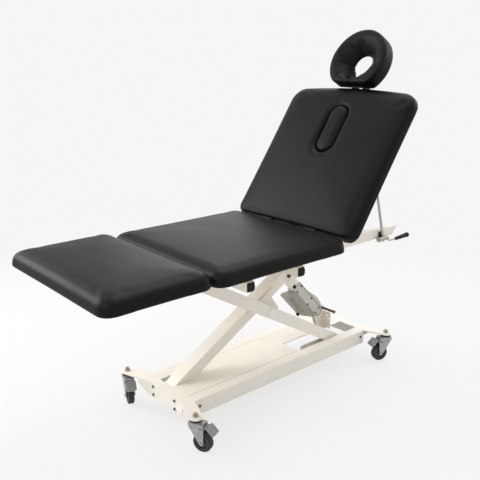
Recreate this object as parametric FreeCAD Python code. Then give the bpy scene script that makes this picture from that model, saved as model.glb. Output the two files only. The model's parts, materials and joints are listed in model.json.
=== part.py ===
import FreeCAD, Part
import math
import os

# Electric treatment table: a scissor lift on a castored base carries a padded
# seat, a hinged backrest with a headrest, and a hinged leg section.
# +X points to the head end, +Y to the far side, +Z up; the floor is z = 0.
# Sizes are in millimetres and angles in degrees.

V = FreeCAD.Vector
TILT_AXIS = V(0, -1, 0)

# Padded sections
CUSHION_WIDTH = 700.0
CUSHION_THICKNESS = 66.0
CUSHION_CROWN = 4.0
PLAN_CORNER = 52.0
TOP_ROLL = 24.0
UNDER_ROLL = 7.0
SIDE_PULL = 2.5
SEAT_UNDERSIDE = 640.0
SEAT_LENGTH = 660.0
SEAT_HEAD_X = 118.6
LEG_LENGTH = 422.0
LEG_GAP = 4.0
LEG_RISE = 9.0
BACK_LENGTH = 676.0
BACK_ANGLE = 55.0
BOARD_THICKNESS = 12.0
BOARD_INSET = 22.0
SOFT_CLEARANCE = 0.3

# Face hole and its plug
FACE_HOLE_CENTRE = 462.0
FACE_HOLE_LENGTH = 236.0
FACE_HOLE_WIDTH = 100.0
FACE_HOLE_ROLL = 9.0
PLUG_CLEARANCE = 0.7

# Headrest
HEADREST_REACH = 110.0
HEADREST_PROUD = 44.0
HEADREST_TILT = 6.8
HEADREST_RADIUS = 145.0
HEADREST_THICKNESS = 75.0
HEADREST_ROLL = 27.0
HEADREST_HOLE = 60.0
HEADREST_CRADLE = 92.0
HEADREST_CRADLE_DEPTH = 46.0
HEADREST_FLAT = 103.0
HEADREST_SLIT = 7.0
HEADREST_PLATE_THICKNESS = 8.0
HEADREST_PLATE_INSET = 26.0
POST_RADIUS = 7.0
POST_SPREAD = 140.0
POST_DEPTH = 110.0
POST_REACH = 26.0
SOCKET_WALL = 3.0
SOCKET_LENGTH = 118.0

# Base
BASE_WIDTH = 300.0
BASE_TOP = 134.0
RAIL_HEIGHT = 65.0
RAIL_WIDTH = 50.0
RAIL_LENGTH = 1004.0
RAIL_WALL = 3.0
TUBE_CORNER = 4.0
DECK_THICKNESS = 4.0
DECK_HEAD_X = 107.0
DECK_STRIP_NEAR_Y = -5.0
DECK_FLANGE = 40.0
FOOT_SLOT_BACK = 11.0
FOOT_SLOT_FRONT = 115.0
FOOT_SLOT_NEAR = 2.0
FOOT_SLOT_FAR = 26.0
FOOT_SLOT_CORNER = 4.0
BEAM_PLATE = 6.0
BEAM_WEB = 4.0
BEAM_DEPTH = 38.0
BEAM_STRAIGHT = 85.0
LUG_RADIUS = 26.0
LUG_WEB_END = 152.0
WEB_TAPER_START = 98.0
WEB_TAPER_RISE = 46.0
SPINE_HEIGHT = 14.0
SPINE_WIDTH = 56.0
SPINE_Y = 48.0
SPINE_WALL = 3.0

# Castors
CASTOR_X = 560.6
CASTOR_Y = 234.0
WHEEL_RADIUS = 37.5
WHEEL_WIDTH = 25.0
TYRE_DEPTH = 11.0
CASTOR_TRAIL = 30.0
CASTOR_HEADINGS = {
    "leg_far": -110.0,
    "leg_near": -65.0,
    "head_near": 158.0,
    "head_far": 62.0,
}
AXLE_RADIUS = 4.0
STEM_RADIUS = 6.0
KINGPIN_RADIUS = 5.0
RACE_RADIUS = 21.0
CROWN_RADIUS = 25.0
RACE_HEIGHT = 10.0
FORK_GAP = 32.0
FORK_WALL = 3.0
CROWN_HEIGHT = 9.0
FORK_EYE = 9.0
FORK_LEAD = 22.0
FORK_LEAD_DROP = 7.0
PEDAL_PIVOT_DROP = 13.0
PEDAL_STEM_WIDTH = 25.0
PEDAL_STEM_HEIGHT = 8.0
PAD_START = 30.0
PAD_RISE = 17.0
PAD_LENGTH = 40.0
PAD_WIDTH = 40.0
PAD_THICKNESS = 12.0
PAD_CORNER = 6.0
PAD_SLOPE = 46.0
PAD_GROOVES = 4
PAD_GROOVE_PITCH = 8.0
PAD_GROOVE_WIDTH = 3.0
PAD_GROOVE_DEPTH = 2.0

# Scissor lift
ARM_ANGLE = 29.9
ARM_WIDTH = 60.0
ARM_DEPTH = 50.0
ARM_WALL = 4.0
ARM_END_RADIUS = 18.0
ARM_TAPER = 60.0
FAR_ARM_Y = 26.0
NEAR_ARM_Y = -64.0
FOOT_X = -501.0
FOOT_Z = 100.0
PIN_RADIUS = 10.0
CROSS_SHAFT_RADIUS = 12.0
CROSS_SLEEVE_RADIUS = 22.0
ROLLER_RADIUS = 22.0
ROLLER_WIDTH = 46.0
ROLLER_AXLE_RADIUS = 8.0
TRACK_CLEARANCE = 3.0
TRACK_WALL = 3.0
TRACK_WEB = 6.0
UPPER_TRACK_HEIGHT = 38.0
LOWER_TRACK_HEIGHT = 24.0
LOWER_TRACK_RUN = 190.0
LOWER_TRACK_END = 52.0
CHEEK_THICKNESS = 5.0
SIDE_CLEARANCE = 1.0
RUNNING_CLEARANCE = 0.05
FACE_CLEARANCE = 0.3

# Plate on the far arm's near face; points lie from the crossing, along and across the arm
GUSSET_POINTS = ((-62.0, 15.0), (-62.0, -15.0), (-24.0, -15.0), (28.0, -98.0), (94.0, -98.0), (84.0, -15.0),
                 (116.0, -15.0), (116.0, 15.0))
GUSSET_RADII = (6.0, 6.0, 6.0, 12.0, 10.0, 6.0, 6.0, 6.0)

# Lift actuator, whose spindle passes beside its rear pivot
YOKE_PIVOT_ALONG = 727.0
YOKE_PIVOT_DROP = 9.0
REAR_PIVOT_X = 383.0
REAR_PIVOT_Z = 232.0
REAR_OFFSET = 31.5
REAR_PIN_RADIUS = 6.0
REAR_PIN_NEAR_Y = -66.0
REAR_EYE_RADIUS = 12.0
REAR_EYE_WIDTH = 16.0
HOUSING_DEPTH = 52.0
HOUSING_WIDTH = 44.0
HOUSING_REAR = -4.0
HOUSING_FRONT = 234.0
HOUSING_WALL = 5.0
BULGE_START = 33.0
BULGE_TOP = 77.0
BULGE_END = 169.0
BULGE_HEIGHT = 18.0
BULGE_WIDTH = 36.0
ROD_RADIUS = 10.0
ROD_TAIL = 62.0
ROD_FLOAT = 5.0
YOKE_LENGTH = 96.0
YOKE_DEPTH = 44.0
YOKE_WIDTH = 36.0
YOKE_SHOULDER = 34.0
YOKE_WALL = 5.0
YOKE_STRAP_WIDTH = 22.0
YOKE_STRAP_RAISE = 4.0
YOKE_STRAP_TOP = 30.0
YOKE_WING = 20.0
YOKE_WING_THICKNESS = 6.0
YOKE_WING_HOLE = 4.0
ACTUATOR_PIN_RADIUS = 8.0
EYE_RADIUS = 13.0
MOTOR_DEPTH = 48.0
MOTOR_WIDTH = 40.0
MOTOR_REAR = 24.0
MOTOR_HEEL = 95.0
MOTOR_FRONT = 253.0
MOTOR_SLANT = 30.0
MOTOR_RIBS = 9
MOTOR_RIB_START = 108.0
MOTOR_RIB_PITCH = 14.0
MOTOR_RIB_WIDTH = 6.0
MOTOR_RIB_DEPTH = 4.0
BRACKET_EAR = 11.0
BRACKET_SET_BACK = 9.0
BRACKET_HEIGHT = 81.0
BRACKET_FOOT = 22.0
BRACKET_NEAR_Y = -32.0
BRACKET_HOLE = 4.5
BRACKET_HOLES = ((-8.0, 62.0), (-22.0, 47.0))

# Platform under the seat
PLATFORM_WIDTH = 400.0
PLATFORM_HEAD_X = 642.0
PLATFORM_RAIL_WIDTH = 30.0
PLATFORM_RAIL_HEIGHT = 42.7
PLATFORM_MITRE = 41.0
CROSS_TUBE = 40.0
CROSS_TUBE_WALL = 2.5
CROSS_TUBE_SPAN = 510.0
CROSS_TUBE_CENTRES = (-315.0, -51.0)
HEAD_TUBE_X = 455.0
END_CAP_THICKNESS = 5.0
END_CAP_MARGIN = 3.0
END_CAP_CORNER = 13.0
END_CAP_STUB = 12.0
LEG_PLATE_THICKNESS = 10.0
LEG_PLATE_LENGTH = 92.0
LEG_PLATE_HOLE = 34.0

# Hinges of the backrest and the leg section
HINGE_DROP = 16.0
HINGE_Y = 130.0
HINGE_WIDTH = 60.0
HINGE_LEAF = 4.0
KNUCKLE_MARGIN = 1.4
HINGE_PIN_RADIUS = 3.5
KNUCKLE_GAP = 0.5
LEG_KNUCKLE_RADIUS = 6.0
STRAP_WIDTH = 40.0
STRAP_THICKNESS = 5.0
BACK_STRAP_LENGTH = 540.0
LEG_STRAP_LENGTH = 330.0

# Backrest stay, its clamp and its release lever
STAY_RADIUS = 400.0
STAY_CLAMP_ANGLE = -13.2
STAY_FLAT_SPLIT = 3.3
STAY_Y = -216.0
STAY_ROD_RADIUS = 5.5
STAY_EYE_RADIUS = 8.0
STAY_EYE_WIDTH = 12.0
STAY_TAIL = 14.0
STAY_STUD_RADIUS = 4.0
STAY_BRACKET_WIDTH = 44.0
CLAMP_RADIUS = 10.5
CLAMP_BACK = 32.0
CLAMP_FRONT = 20.0
CLAMP_STUD_RADIUS = 6.0
LEVER_RADIUS = 4.0
LEVER_DROP = 15.0
LEVER_LENGTH = 94.0
GRIP_RADIUS = 10.0
GRIP_LENGTH = 100.0

# Leg section stay
LEG_STAY_RADIUS = 170.0
LEG_STAY_FRAME_ANGLE = -80.0
LEG_STAY_LEG_ANGLE = -175.0
LEG_STAY_Y = 112.0
LEG_STAY_TUBE_RADIUS = 11.0
LEG_STAY_ROD_RADIUS = 7.0
LEG_STAY_TUBE_LENGTH = 150.0
LEG_STAY_ROD_LENGTH = 165.0
LEG_STAY_CLEARANCE = 0.6

# Places worked out from the sizes above
HEADREST_CENTRE = BACK_LENGTH + HEADREST_REACH
SEAT_TOP = SEAT_UNDERSIDE + CUSHION_THICKNESS
SEAT_FOOT_X = SEAT_HEAD_X - SEAT_LENGTH
LEG_HEAD_X = SEAT_FOOT_X - LEG_GAP
LEG_UNDERSIDE = SEAT_UNDERSIDE + LEG_RISE
PLATFORM_TOP = SEAT_UNDERSIDE - SOFT_CLEARANCE
PLATFORM_BOTTOM = PLATFORM_TOP - PLATFORM_RAIL_HEIGHT
TOP_PIVOT_Z = PLATFORM_TOP - TRACK_WEB - FACE_CLEARANCE - ROLLER_RADIUS
ARM_SIN = math.sin(math.radians(ARM_ANGLE))
ARM_COS = math.cos(math.radians(ARM_ANGLE))
ARM_LENGTH = (TOP_PIVOT_Z - FOOT_Z) / ARM_SIN
ARM_HALF = ARM_LENGTH / 2
SLIDE_X = FOOT_X + ARM_LENGTH * ARM_COS
YOKE_X = FOOT_X + YOKE_PIVOT_ALONG * ARM_COS + YOKE_PIVOT_DROP * ARM_SIN
YOKE_Z = FOOT_Z + YOKE_PIVOT_ALONG * ARM_SIN - YOKE_PIVOT_DROP * ARM_COS
PIVOT_SPAN = math.hypot(YOKE_X - REAR_PIVOT_X, YOKE_Z - REAR_PIVOT_Z)
ACTUATOR_LENGTH = math.sqrt(PIVOT_SPAN ** 2 - REAR_OFFSET ** 2)
SPAN_ANGLE = math.degrees(math.atan2(YOKE_Z - REAR_PIVOT_Z, YOKE_X - REAR_PIVOT_X))
ACTUATOR_ANGLE = SPAN_ANGLE - math.degrees(math.asin(REAR_OFFSET / PIVOT_SPAN))
HINGE_OFFSET = HINGE_DROP * math.tan(math.radians(BACK_ANGLE / 2))
KNUCKLE_RADIUS = HINGE_OFFSET - KNUCKLE_MARGIN
BACK_HINGE = (SEAT_HEAD_X + HINGE_OFFSET, SEAT_TOP - HINGE_DROP)
LEG_HINGE = (SEAT_FOOT_X - LEG_GAP / 2, PLATFORM_TOP - LEG_KNUCKLE_RADIUS - FACE_CLEARANCE)
RAIL_END_X = RAIL_LENGTH / 2
BASE_BOTTOM = BASE_TOP - RAIL_HEIGHT
BEAM_FACE_X = RAIL_END_X + BEAM_DEPTH
RAIL_INNER_Y = BASE_WIDTH / 2 - RAIL_WIDTH
PLATFORM_INNER_Y = PLATFORM_WIDTH / 2 - PLATFORM_RAIL_WIDTH
HINGE_BEAM_X = SEAT_HEAD_X + FACE_CLEARANCE * 2
CROSS_TUBE_TOP = PLATFORM_TOP - TRACK_WEB


def polar(centre, radius, degrees):
    angle = math.radians(degrees)
    return (centre[0] + radius * math.cos(angle), centre[1] + radius * math.sin(angle))


STAY_CLAMP = polar(BACK_HINGE, STAY_RADIUS, STAY_CLAMP_ANGLE)
STAY_EYE = polar(BACK_HINGE, STAY_RADIUS, STAY_CLAMP_ANGLE + STAY_FLAT_SPLIT + BACK_ANGLE)
LEG_STAY_FOOT = polar(LEG_HINGE, LEG_STAY_RADIUS, LEG_STAY_FRAME_ANGLE)
LEG_STAY_HEAD = polar(LEG_HINGE, LEG_STAY_RADIUS, LEG_STAY_LEG_ANGLE)


# Drawing helpers

def box(x0, x1, y0, y1, z0, z1):
    return Part.makeBox(x1 - x0, y1 - y0, z1 - z0, V(x0, y0, z0))


def bar(start, end, radius):
    run = end - start
    return Part.makeCylinder(radius, run.Length, start, run)


def bar_y(x, z, y0, y1, radius):
    return bar(V(x, y0, z), V(x, y1, z), radius)


def bar_z(x, y, z0, z1, radius):
    return bar(V(x, y, z0), V(x, y, z1), radius)


def join(shapes):
    whole = shapes[0].fuse(shapes[1:]) if len(shapes) > 1 else shapes[0]
    return whole.removeSplitter()


def group(shapes):
    solids = [solid for shape in shapes for solid in shape.Solids]
    return Part.makeCompound(solids)


def mapper(plane, level):
    if plane == "xz":
        return lambda a, b: V(a, level, b)
    if plane == "xy":
        return lambda a, b: V(a, b, level)
    return lambda a, b: V(level, a, b)


PLANE_NORMAL = {"xz": V(0, 1, 0), "xy": V(0, 0, 1), "yz": V(1, 0, 0)}


def rounded_wire(points, radii, place):
    """Closed outline through flat points, each corner rounded by its radius."""
    count = len(points)
    corners = []
    for index in range(count):
        here = V(points[index][0], points[index][1], 0)
        before = V(points[index - 1][0], points[index - 1][1], 0) - here
        after = V(points[(index + 1) % count][0], points[(index + 1) % count][1], 0) - here
        before.normalize()
        after.normalize()
        half = before.getAngle(after) / 2
        radius = radii[index]
        if radius <= 0:
            corners.append((here, here, here))
            continue
        reach = radius / math.tan(half)
        toward = before + after
        toward.normalize()
        depth = radius / math.sin(half) - radius
        corners.append((here + before * reach, here + toward * depth, here + after * reach))
    edges = []
    for index in range(count):
        start, middle, end = corners[index]
        following = corners[(index + 1) % count][0]
        if (end - start).Length > 1e-6:
            arc = Part.Arc(place(start.x, start.y), place(middle.x, middle.y), place(end.x, end.y))
            edges.append(arc.toShape())
        if (following - end).Length > 1e-6:
            edges.append(Part.LineSegment(place(end.x, end.y), place(following.x, following.y)).toShape())
    return Part.Wire(edges)


def prism(points, radii, plane, low, high):
    if not isinstance(radii, (list, tuple)):
        radii = [radii] * len(points)
    face = Part.Face(rounded_wire(points, radii, mapper(plane, low)))
    return face.extrude(PLANE_NORMAL[plane] * (high - low))


def rectangle(a0, a1, b0, b1):
    return [(a0, b0), (a1, b0), (a1, b1), (a0, b1)]


def tube_along(plane, a0, a1, b0, b1, low, high, wall, corner):
    outer = prism(rectangle(a0, a1, b0, b1), corner, plane, low, high)
    hollow = rectangle(a0 + wall, a1 - wall, b0 + wall, b1 - wall)
    return outer.cut(prism(hollow, max(corner - wall, 0.5), plane, low - 1, high + 1))


def tangent_point(point, centre, radius, side):
    """Point on a circle where a line from a flat point touches it; side is +1 or -1."""
    dx = point[0] - centre[0]
    dz = point[1] - centre[1]
    swing = math.acos(radius / math.hypot(dx, dz)) * side
    angle = math.atan2(dz, dx) + swing
    return (centre[0] + radius * math.cos(angle), centre[1] + radius * math.sin(angle))


def wire_of(pieces):
    """Closed wire from flat pieces: ("line", p, q) or ("arc", p, middle, q) given as vectors."""
    edges = []
    for piece in pieces:
        if piece[0] == "line":
            edges.append(Part.LineSegment(piece[1], piece[2]).toShape())
        else:
            edges.append(Part.Arc(piece[1], piece[2], piece[3]).toShape())
    return Part.Wire(edges)


def bent_bar(points, bend, radius):
    """Round bar along straight runs that meet in equal bends."""
    edges = []
    start = points[0]
    for index in range(1, len(points) - 1):
        here = points[index]
        back = points[index - 1] - here
        ahead = points[index + 1] - here
        back.normalize()
        ahead.normalize()
        half = back.getAngle(ahead) / 2
        reach = bend / math.tan(half)
        toward = back + ahead
        toward.normalize()
        middle = here + toward * (bend / math.sin(half) - bend)
        edges.append(Part.LineSegment(start, here + back * reach).toShape())
        edges.append(Part.Arc(here + back * reach, middle, here + ahead * reach).toShape())
        start = here + ahead * reach
    edges.append(Part.LineSegment(start, points[-1]).toShape())
    run = points[1] - points[0]
    profile = Part.Wire(Part.makeCircle(radius, points[0], run))
    return Part.Wire(edges).makePipeShell([profile], True, False)


# Padded sections

def pillow_wire(length, width, inset, corner, pull, z):
    """Rounded plan outline whose long and short sides draw in by pull."""
    x0 = inset
    x1 = length - inset
    y1 = width / 2 - inset
    y0 = -y1
    slant = corner * (1 - math.sqrt(0.5))
    rounds = [
        (V(x0, y0 + corner, z), V(x0 + slant, y0 + slant, z), V(x0 + corner, y0, z)),
        (V(x1 - corner, y0, z), V(x1 - slant, y0 + slant, z), V(x1, y0 + corner, z)),
        (V(x1, y1 - corner, z), V(x1 - slant, y1 - slant, z), V(x1 - corner, y1, z)),
        (V(x0 + corner, y1, z), V(x0 + slant, y1 - slant, z), V(x0, y1 - corner, z)),
    ]
    inward = [V(0, pull, 0), V(-pull, 0, 0), V(0, -pull, 0), V(pull, 0, 0)]
    pieces = []
    for index in range(4):
        start, middle, end = rounds[index]
        following = rounds[(index + 1) % 4][0]
        pieces.append(("arc", start, middle, end))
        pieces.append(("arc", end, (end + following) * 0.5 + inward[index], following))
    return wire_of(pieces)


def roll_levels(thickness, roll, under_roll, steps):
    """Height and inset of each outline of a slab with rolled edges."""
    lower = []
    upper = []
    for step in range(steps + 1):
        rise = math.sin(math.radians(90 * step / steps))
        run = 1 - math.cos(math.radians(90 * step / steps))
        lower.append((under_roll * run, under_roll * (1 - rise)))
        upper.append((thickness - roll + roll * rise, roll * run))
    return lower + upper


def padded_slab(length):
    """Upholstered slab from x = 0 to length, underside at z = 0."""
    wires = []
    for height, inset in roll_levels(CUSHION_THICKNESS, TOP_ROLL, UNDER_ROLL, 3):
        corner = PLAN_CORNER - inset / 2
        wires.append(pillow_wire(length, CUSHION_WIDTH, inset, corner, SIDE_PULL, height))
    for share, rise in ((0.30, 0.75), (0.62, 1.0)):
        inset = TOP_ROLL + share * (min(length, CUSHION_WIDTH) / 2 - TOP_ROLL)
        height = CUSHION_THICKNESS + CUSHION_CROWN * rise
        wires.append(pillow_wire(length, CUSHION_WIDTH, inset, PLAN_CORNER, SIDE_PULL, height))
    return Part.makeLoft(wires, True, True)


def board(length):
    return prism(
        rectangle(BOARD_INSET, length - BOARD_INSET,
                  BOARD_INSET - CUSHION_WIDTH / 2, CUSHION_WIDTH / 2 - BOARD_INSET),
        PLAN_CORNER - BOARD_INSET / 2, "xy", 0, BOARD_THICKNESS)


def board_pocket(length):
    grow = SOFT_CLEARANCE
    return prism(
        rectangle(BOARD_INSET - grow, length - BOARD_INSET + grow,
                  BOARD_INSET - grow - CUSHION_WIDTH / 2, CUSHION_WIDTH / 2 - BOARD_INSET + grow),
        PLAN_CORNER - BOARD_INSET / 2, "xy", -1, BOARD_THICKNESS + grow)


def stadium_wire(centre, length, width, z):
    """Round-ended slot along x."""
    radius = width / 2
    half = length / 2 - radius
    x0 = centre - half
    x1 = centre + half
    slant = radius * math.sqrt(0.5)
    return wire_of([
        ("line", V(x0, -radius, z), V(x1, -radius, z)),
        ("arc", V(x1, -radius, z), V(x1 + slant, -slant, z), V(x1 + radius, 0, z)),
        ("arc", V(x1 + radius, 0, z), V(x1 + slant, slant, z), V(x1, radius, z)),
        ("line", V(x1, radius, z), V(x0, radius, z)),
        ("arc", V(x0, radius, z), V(x0 - slant, slant, z), V(x0 - radius, 0, z)),
        ("arc", V(x0 - radius, 0, z), V(x0 - slant, -slant, z), V(x0, -radius, z)),
    ])


def stadium_loft(levels):
    """Solid through round-ended outlines given as (height, growth of the face hole)."""
    wires = []
    for height, grow in levels:
        wires.append(stadium_wire(FACE_HOLE_CENTRE, FACE_HOLE_LENGTH + 2 * grow,
                                  FACE_HOLE_WIDTH + 2 * grow, height))
    return Part.makeLoft(wires, True, True)


def seat_section():
    place = V(SEAT_FOOT_X, 0, SEAT_UNDERSIDE)
    cushion = padded_slab(SEAT_LENGTH).cut(board_pocket(SEAT_LENGTH))
    return cushion.translated(place), board(SEAT_LENGTH).translated(place)


def leg_section():
    place = V(LEG_HEAD_X - LEG_LENGTH, 0, LEG_UNDERSIDE)
    cushion = padded_slab(LEG_LENGTH).cut(board_pocket(LEG_LENGTH))
    return cushion.translated(place), board(LEG_LENGTH).translated(place)


def on_back(shape):
    """Move a shape drawn flat, back face at z = 0, on to the raised backrest."""
    lowered = shape.translated(V(0, 0, -CUSHION_THICKNESS))
    raised = lowered.rotated(V(0, 0, 0), TILT_AXIS, BACK_ANGLE)
    return raised.translated(V(SEAT_HEAD_X, 0, SEAT_TOP))


def back_section():
    top = CUSHION_THICKNESS + CUSHION_CROWN
    hole = stadium_loft([(-1, 0), (CUSHION_THICKNESS - FACE_HOLE_ROLL, 0),
                         (CUSHION_THICKNESS - FACE_HOLE_ROLL / 3, FACE_HOLE_ROLL / 3),
                         (top + 1, FACE_HOLE_ROLL)])
    cushion = padded_slab(BACK_LENGTH).cut(board_pocket(BACK_LENGTH)).cut(hole)
    panel = board(BACK_LENGTH).cut(stadium_loft([(-1, 0), (BOARD_THICKNESS + 1, 0)]))
    return on_back(cushion), on_back(panel)


def face_plug():
    shrink = -PLUG_CLEARANCE
    top = CUSHION_THICKNESS + CUSHION_CROWN
    levels = [(BOARD_THICKNESS / 2, shrink - 2), (BOARD_THICKNESS, shrink),
              (CUSHION_THICKNESS - FACE_HOLE_ROLL, shrink), (CUSHION_THICKNESS - 2, shrink - 3),
              (top - 1.5, shrink - 9), (top, shrink - 18)]
    return on_back(stadium_loft(levels))


# Headrest

def headrest_outline(radius, flat, z):
    """Circle of the headrest with a flat side towards the backrest."""
    half = math.sqrt(radius ** 2 - flat ** 2)
    start = math.atan2(half, -flat)
    points = []
    for share in (0, 0.25, 0.5, 0.75, 1.0):
        angle = start * (1 - 2 * share)
        points.append(V(radius * math.cos(angle), radius * math.sin(angle), z))
    pieces = []
    for index in range(4):
        middle_angle = start * (1 - 2 * (index + 0.5) / 4)
        middle = V(radius * math.cos(middle_angle), radius * math.sin(middle_angle), z)
        pieces.append(("arc", points[index], middle, points[index + 1]))
    pieces.append(("line", points[4], points[0]))
    return wire_of(pieces)


def disc_wire(radius, z):
    pieces = []
    for quarter in range(4):
        corners = []
        for share in (0, 0.5, 1):
            angle = math.radians(90 * (quarter + share))
            corners.append(V(radius * math.cos(angle), radius * math.sin(angle), z))
        pieces.append(("arc", corners[0], corners[1], corners[2]))
    return wire_of(pieces)


def headrest_notch(low, high):
    """V-shaped gap that runs from the face opening to the flat side."""
    points = [(-HEADREST_HOLE * 0.35, HEADREST_HOLE * 0.9), (-HEADREST_FLAT - 2, HEADREST_SLIT / 2),
              (-HEADREST_FLAT - 2, -HEADREST_SLIT / 2), (-HEADREST_HOLE * 0.35, -HEADREST_HOLE * 0.9)]
    return prism(points, 0, "xy", low, high)


def on_headrest(shape):
    """Move a shape drawn about the ring's centre, underside at z = 0, to its place."""
    turned = shape.rotated(V(0, 0, HEADREST_THICKNESS), TILT_AXIS, HEADREST_TILT)
    lift = CUSHION_THICKNESS + HEADREST_PROUD - HEADREST_THICKNESS
    return on_back(turned.translated(V(HEADREST_CENTRE, 0, lift)))


def headrest_cushion():
    wires = []
    for height, inset in roll_levels(HEADREST_THICKNESS, HEADREST_ROLL, UNDER_ROLL, 3):
        flat = HEADREST_FLAT - inset
        wires.append(headrest_outline(HEADREST_RADIUS - inset, flat, height))
    ring = Part.makeLoft(wires, True, True)
    floor = HEADREST_THICKNESS - HEADREST_CRADLE_DEPTH
    opening = Part.makeLoft([disc_wire(HEADREST_HOLE, -1), disc_wire(HEADREST_HOLE, floor),
                             disc_wire(HEADREST_HOLE + 12, floor + HEADREST_CRADLE_DEPTH * 0.55),
                             disc_wire(HEADREST_CRADLE, HEADREST_THICKNESS + 1)], True, True)
    ring = ring.cut(opening).cut(headrest_notch(-1, HEADREST_THICKNESS + 1))
    return on_headrest(ring)


def post_centre():
    """Height of the headrest posts above the back face of the backrest."""
    return -SOFT_CLEARANCE - HINGE_LEAF - POST_RADIUS - SOCKET_WALL / 2


def tilt_bar_x():
    return BACK_LENGTH + POST_REACH


def headrest_sockets():
    outer = POST_RADIUS + SOCKET_WALL
    start = BACK_LENGTH - SOCKET_LENGTH
    end = BACK_LENGTH - PLAN_CORNER / 4
    z = post_centre()
    plate_top = -SOFT_CLEARANCE
    spread = POST_SPREAD / 2
    plate = prism(rectangle(start + 14, end - 14, -spread - 24, spread + 24), 10, "xy",
                  plate_top - HINGE_LEAF, plate_top)
    pieces = [plate]
    for y in (-spread, spread):
        pieces.append(bar(V(start, y, z), V(end, y, z), outer))
    whole = join(pieces)
    for y in (-spread, spread):
        whole = whole.cut(bar(V(start - 1, y, z), V(end + 1, y, z), POST_RADIUS + RUNNING_CLEARANCE))
    return on_back(whole)


def headrest_posts():
    z = post_centre()
    spread = POST_SPREAD / 2
    end = tilt_bar_x()
    start = BACK_LENGTH - POST_DEPTH
    bend = POST_RADIUS * 2.5
    path = [V(start, -spread, z), V(end, -spread, z), V(end, spread, z), V(start, spread, z)]
    return on_back(bent_bar(path, bend, POST_RADIUS))


def headrest_plate():
    """Ring-shaped carrier with two lugs that turn on the posts' cross bar."""
    inset = HEADREST_PLATE_INSET
    top = -SOFT_CLEARANCE
    low = top - HEADREST_PLATE_THICKNESS
    outline = headrest_outline(HEADREST_RADIUS - inset, HEADREST_FLAT - UNDER_ROLL, low)
    ring = Part.Face(outline).extrude(V(0, 0, HEADREST_PLATE_THICKNESS))
    ring = ring.cut(bar_z(0, 0, low - 1, top + 1, HEADREST_HOLE + 8))
    ring = on_headrest(ring.cut(headrest_notch(low - 1, top + 1)))
    z = post_centre()
    x = tilt_bar_x()
    outer = POST_RADIUS + SOCKET_WALL + 1
    pieces = [ring]
    top_z = CUSHION_THICKNESS + HEADREST_PROUD - HEADREST_THICKNESS - HEADREST_PLATE_THICKNESS
    for y in (-30.0, 30.0):
        lug = prism([(x - outer, z), (x + outer, z), (x + outer + 6, top_z - 8), (x - outer + 6, top_z - 12)],
                    0, "xz", y - 9, y + 9)
        pieces.append(on_back(lug))
        pieces.append(on_back(bar_y(x, z, y - 9, y + 9, outer)))
    whole = join(pieces)
    return whole.cut(on_back(bar_y(x, z, -60, 60, POST_RADIUS + RUNNING_CLEARANCE)))


# Base

def base_rails():
    rails = []
    for side in (-1, 1):
        y0 = min(side * BASE_WIDTH / 2, side * RAIL_INNER_Y)
        rails.append(tube_along("yz", y0, y0 + RAIL_WIDTH, BASE_BOTTOM, BASE_TOP,
                                -RAIL_END_X, RAIL_END_X, RAIL_WALL, TUBE_CORNER))
    return group(rails)


def foot_slot():
    """Slot in the deck for the far arm, over the whole lift."""
    return (FOOT_X - FOOT_SLOT_BACK, FOOT_X + FOOT_SLOT_FRONT,
            FAR_ARM_Y - ARM_WIDTH / 2 - FOOT_SLOT_NEAR, FAR_ARM_Y + ARM_WIDTH / 2 + FOOT_SLOT_FAR)


def deck_plate():
    """Deck over the leg half of the base, with a strip along the far side to the head end."""
    top = BASE_TOP
    low = BASE_TOP - DECK_THICKNESS
    inner = RAIL_INNER_Y
    near = DECK_STRIP_NEAR_Y
    outline = [(-RAIL_END_X, -inner), (DECK_HEAD_X, -inner), (DECK_HEAD_X, near), (RAIL_END_X, near),
               (RAIL_END_X, inner), (-RAIL_END_X, inner)]
    plate = prism(outline, 0, "xy", low, top)
    flange = box(DECK_HEAD_X - DECK_THICKNESS, DECK_HEAD_X, -inner, inner, top - DECK_FLANGE, top)
    slot = prism(rectangle(*foot_slot()), FOOT_SLOT_CORNER, "xy", low - 1, top + 1)
    return join([plate, flange]).cut(slot)


def lug_tangents(sign):
    """Touching points of the lug's edges, for one side of the leg-end beam."""
    centre = (-CASTOR_X, sign * CASTOR_Y)
    front = tangent_point((-BEAM_FACE_X, sign * BEAM_STRAIGHT), centre, LUG_RADIUS, -sign)
    back = tangent_point((-RAIL_END_X, sign * (BASE_WIDTH / 2 + 2)), centre, LUG_RADIUS, sign)
    return centre, front, back


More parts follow.
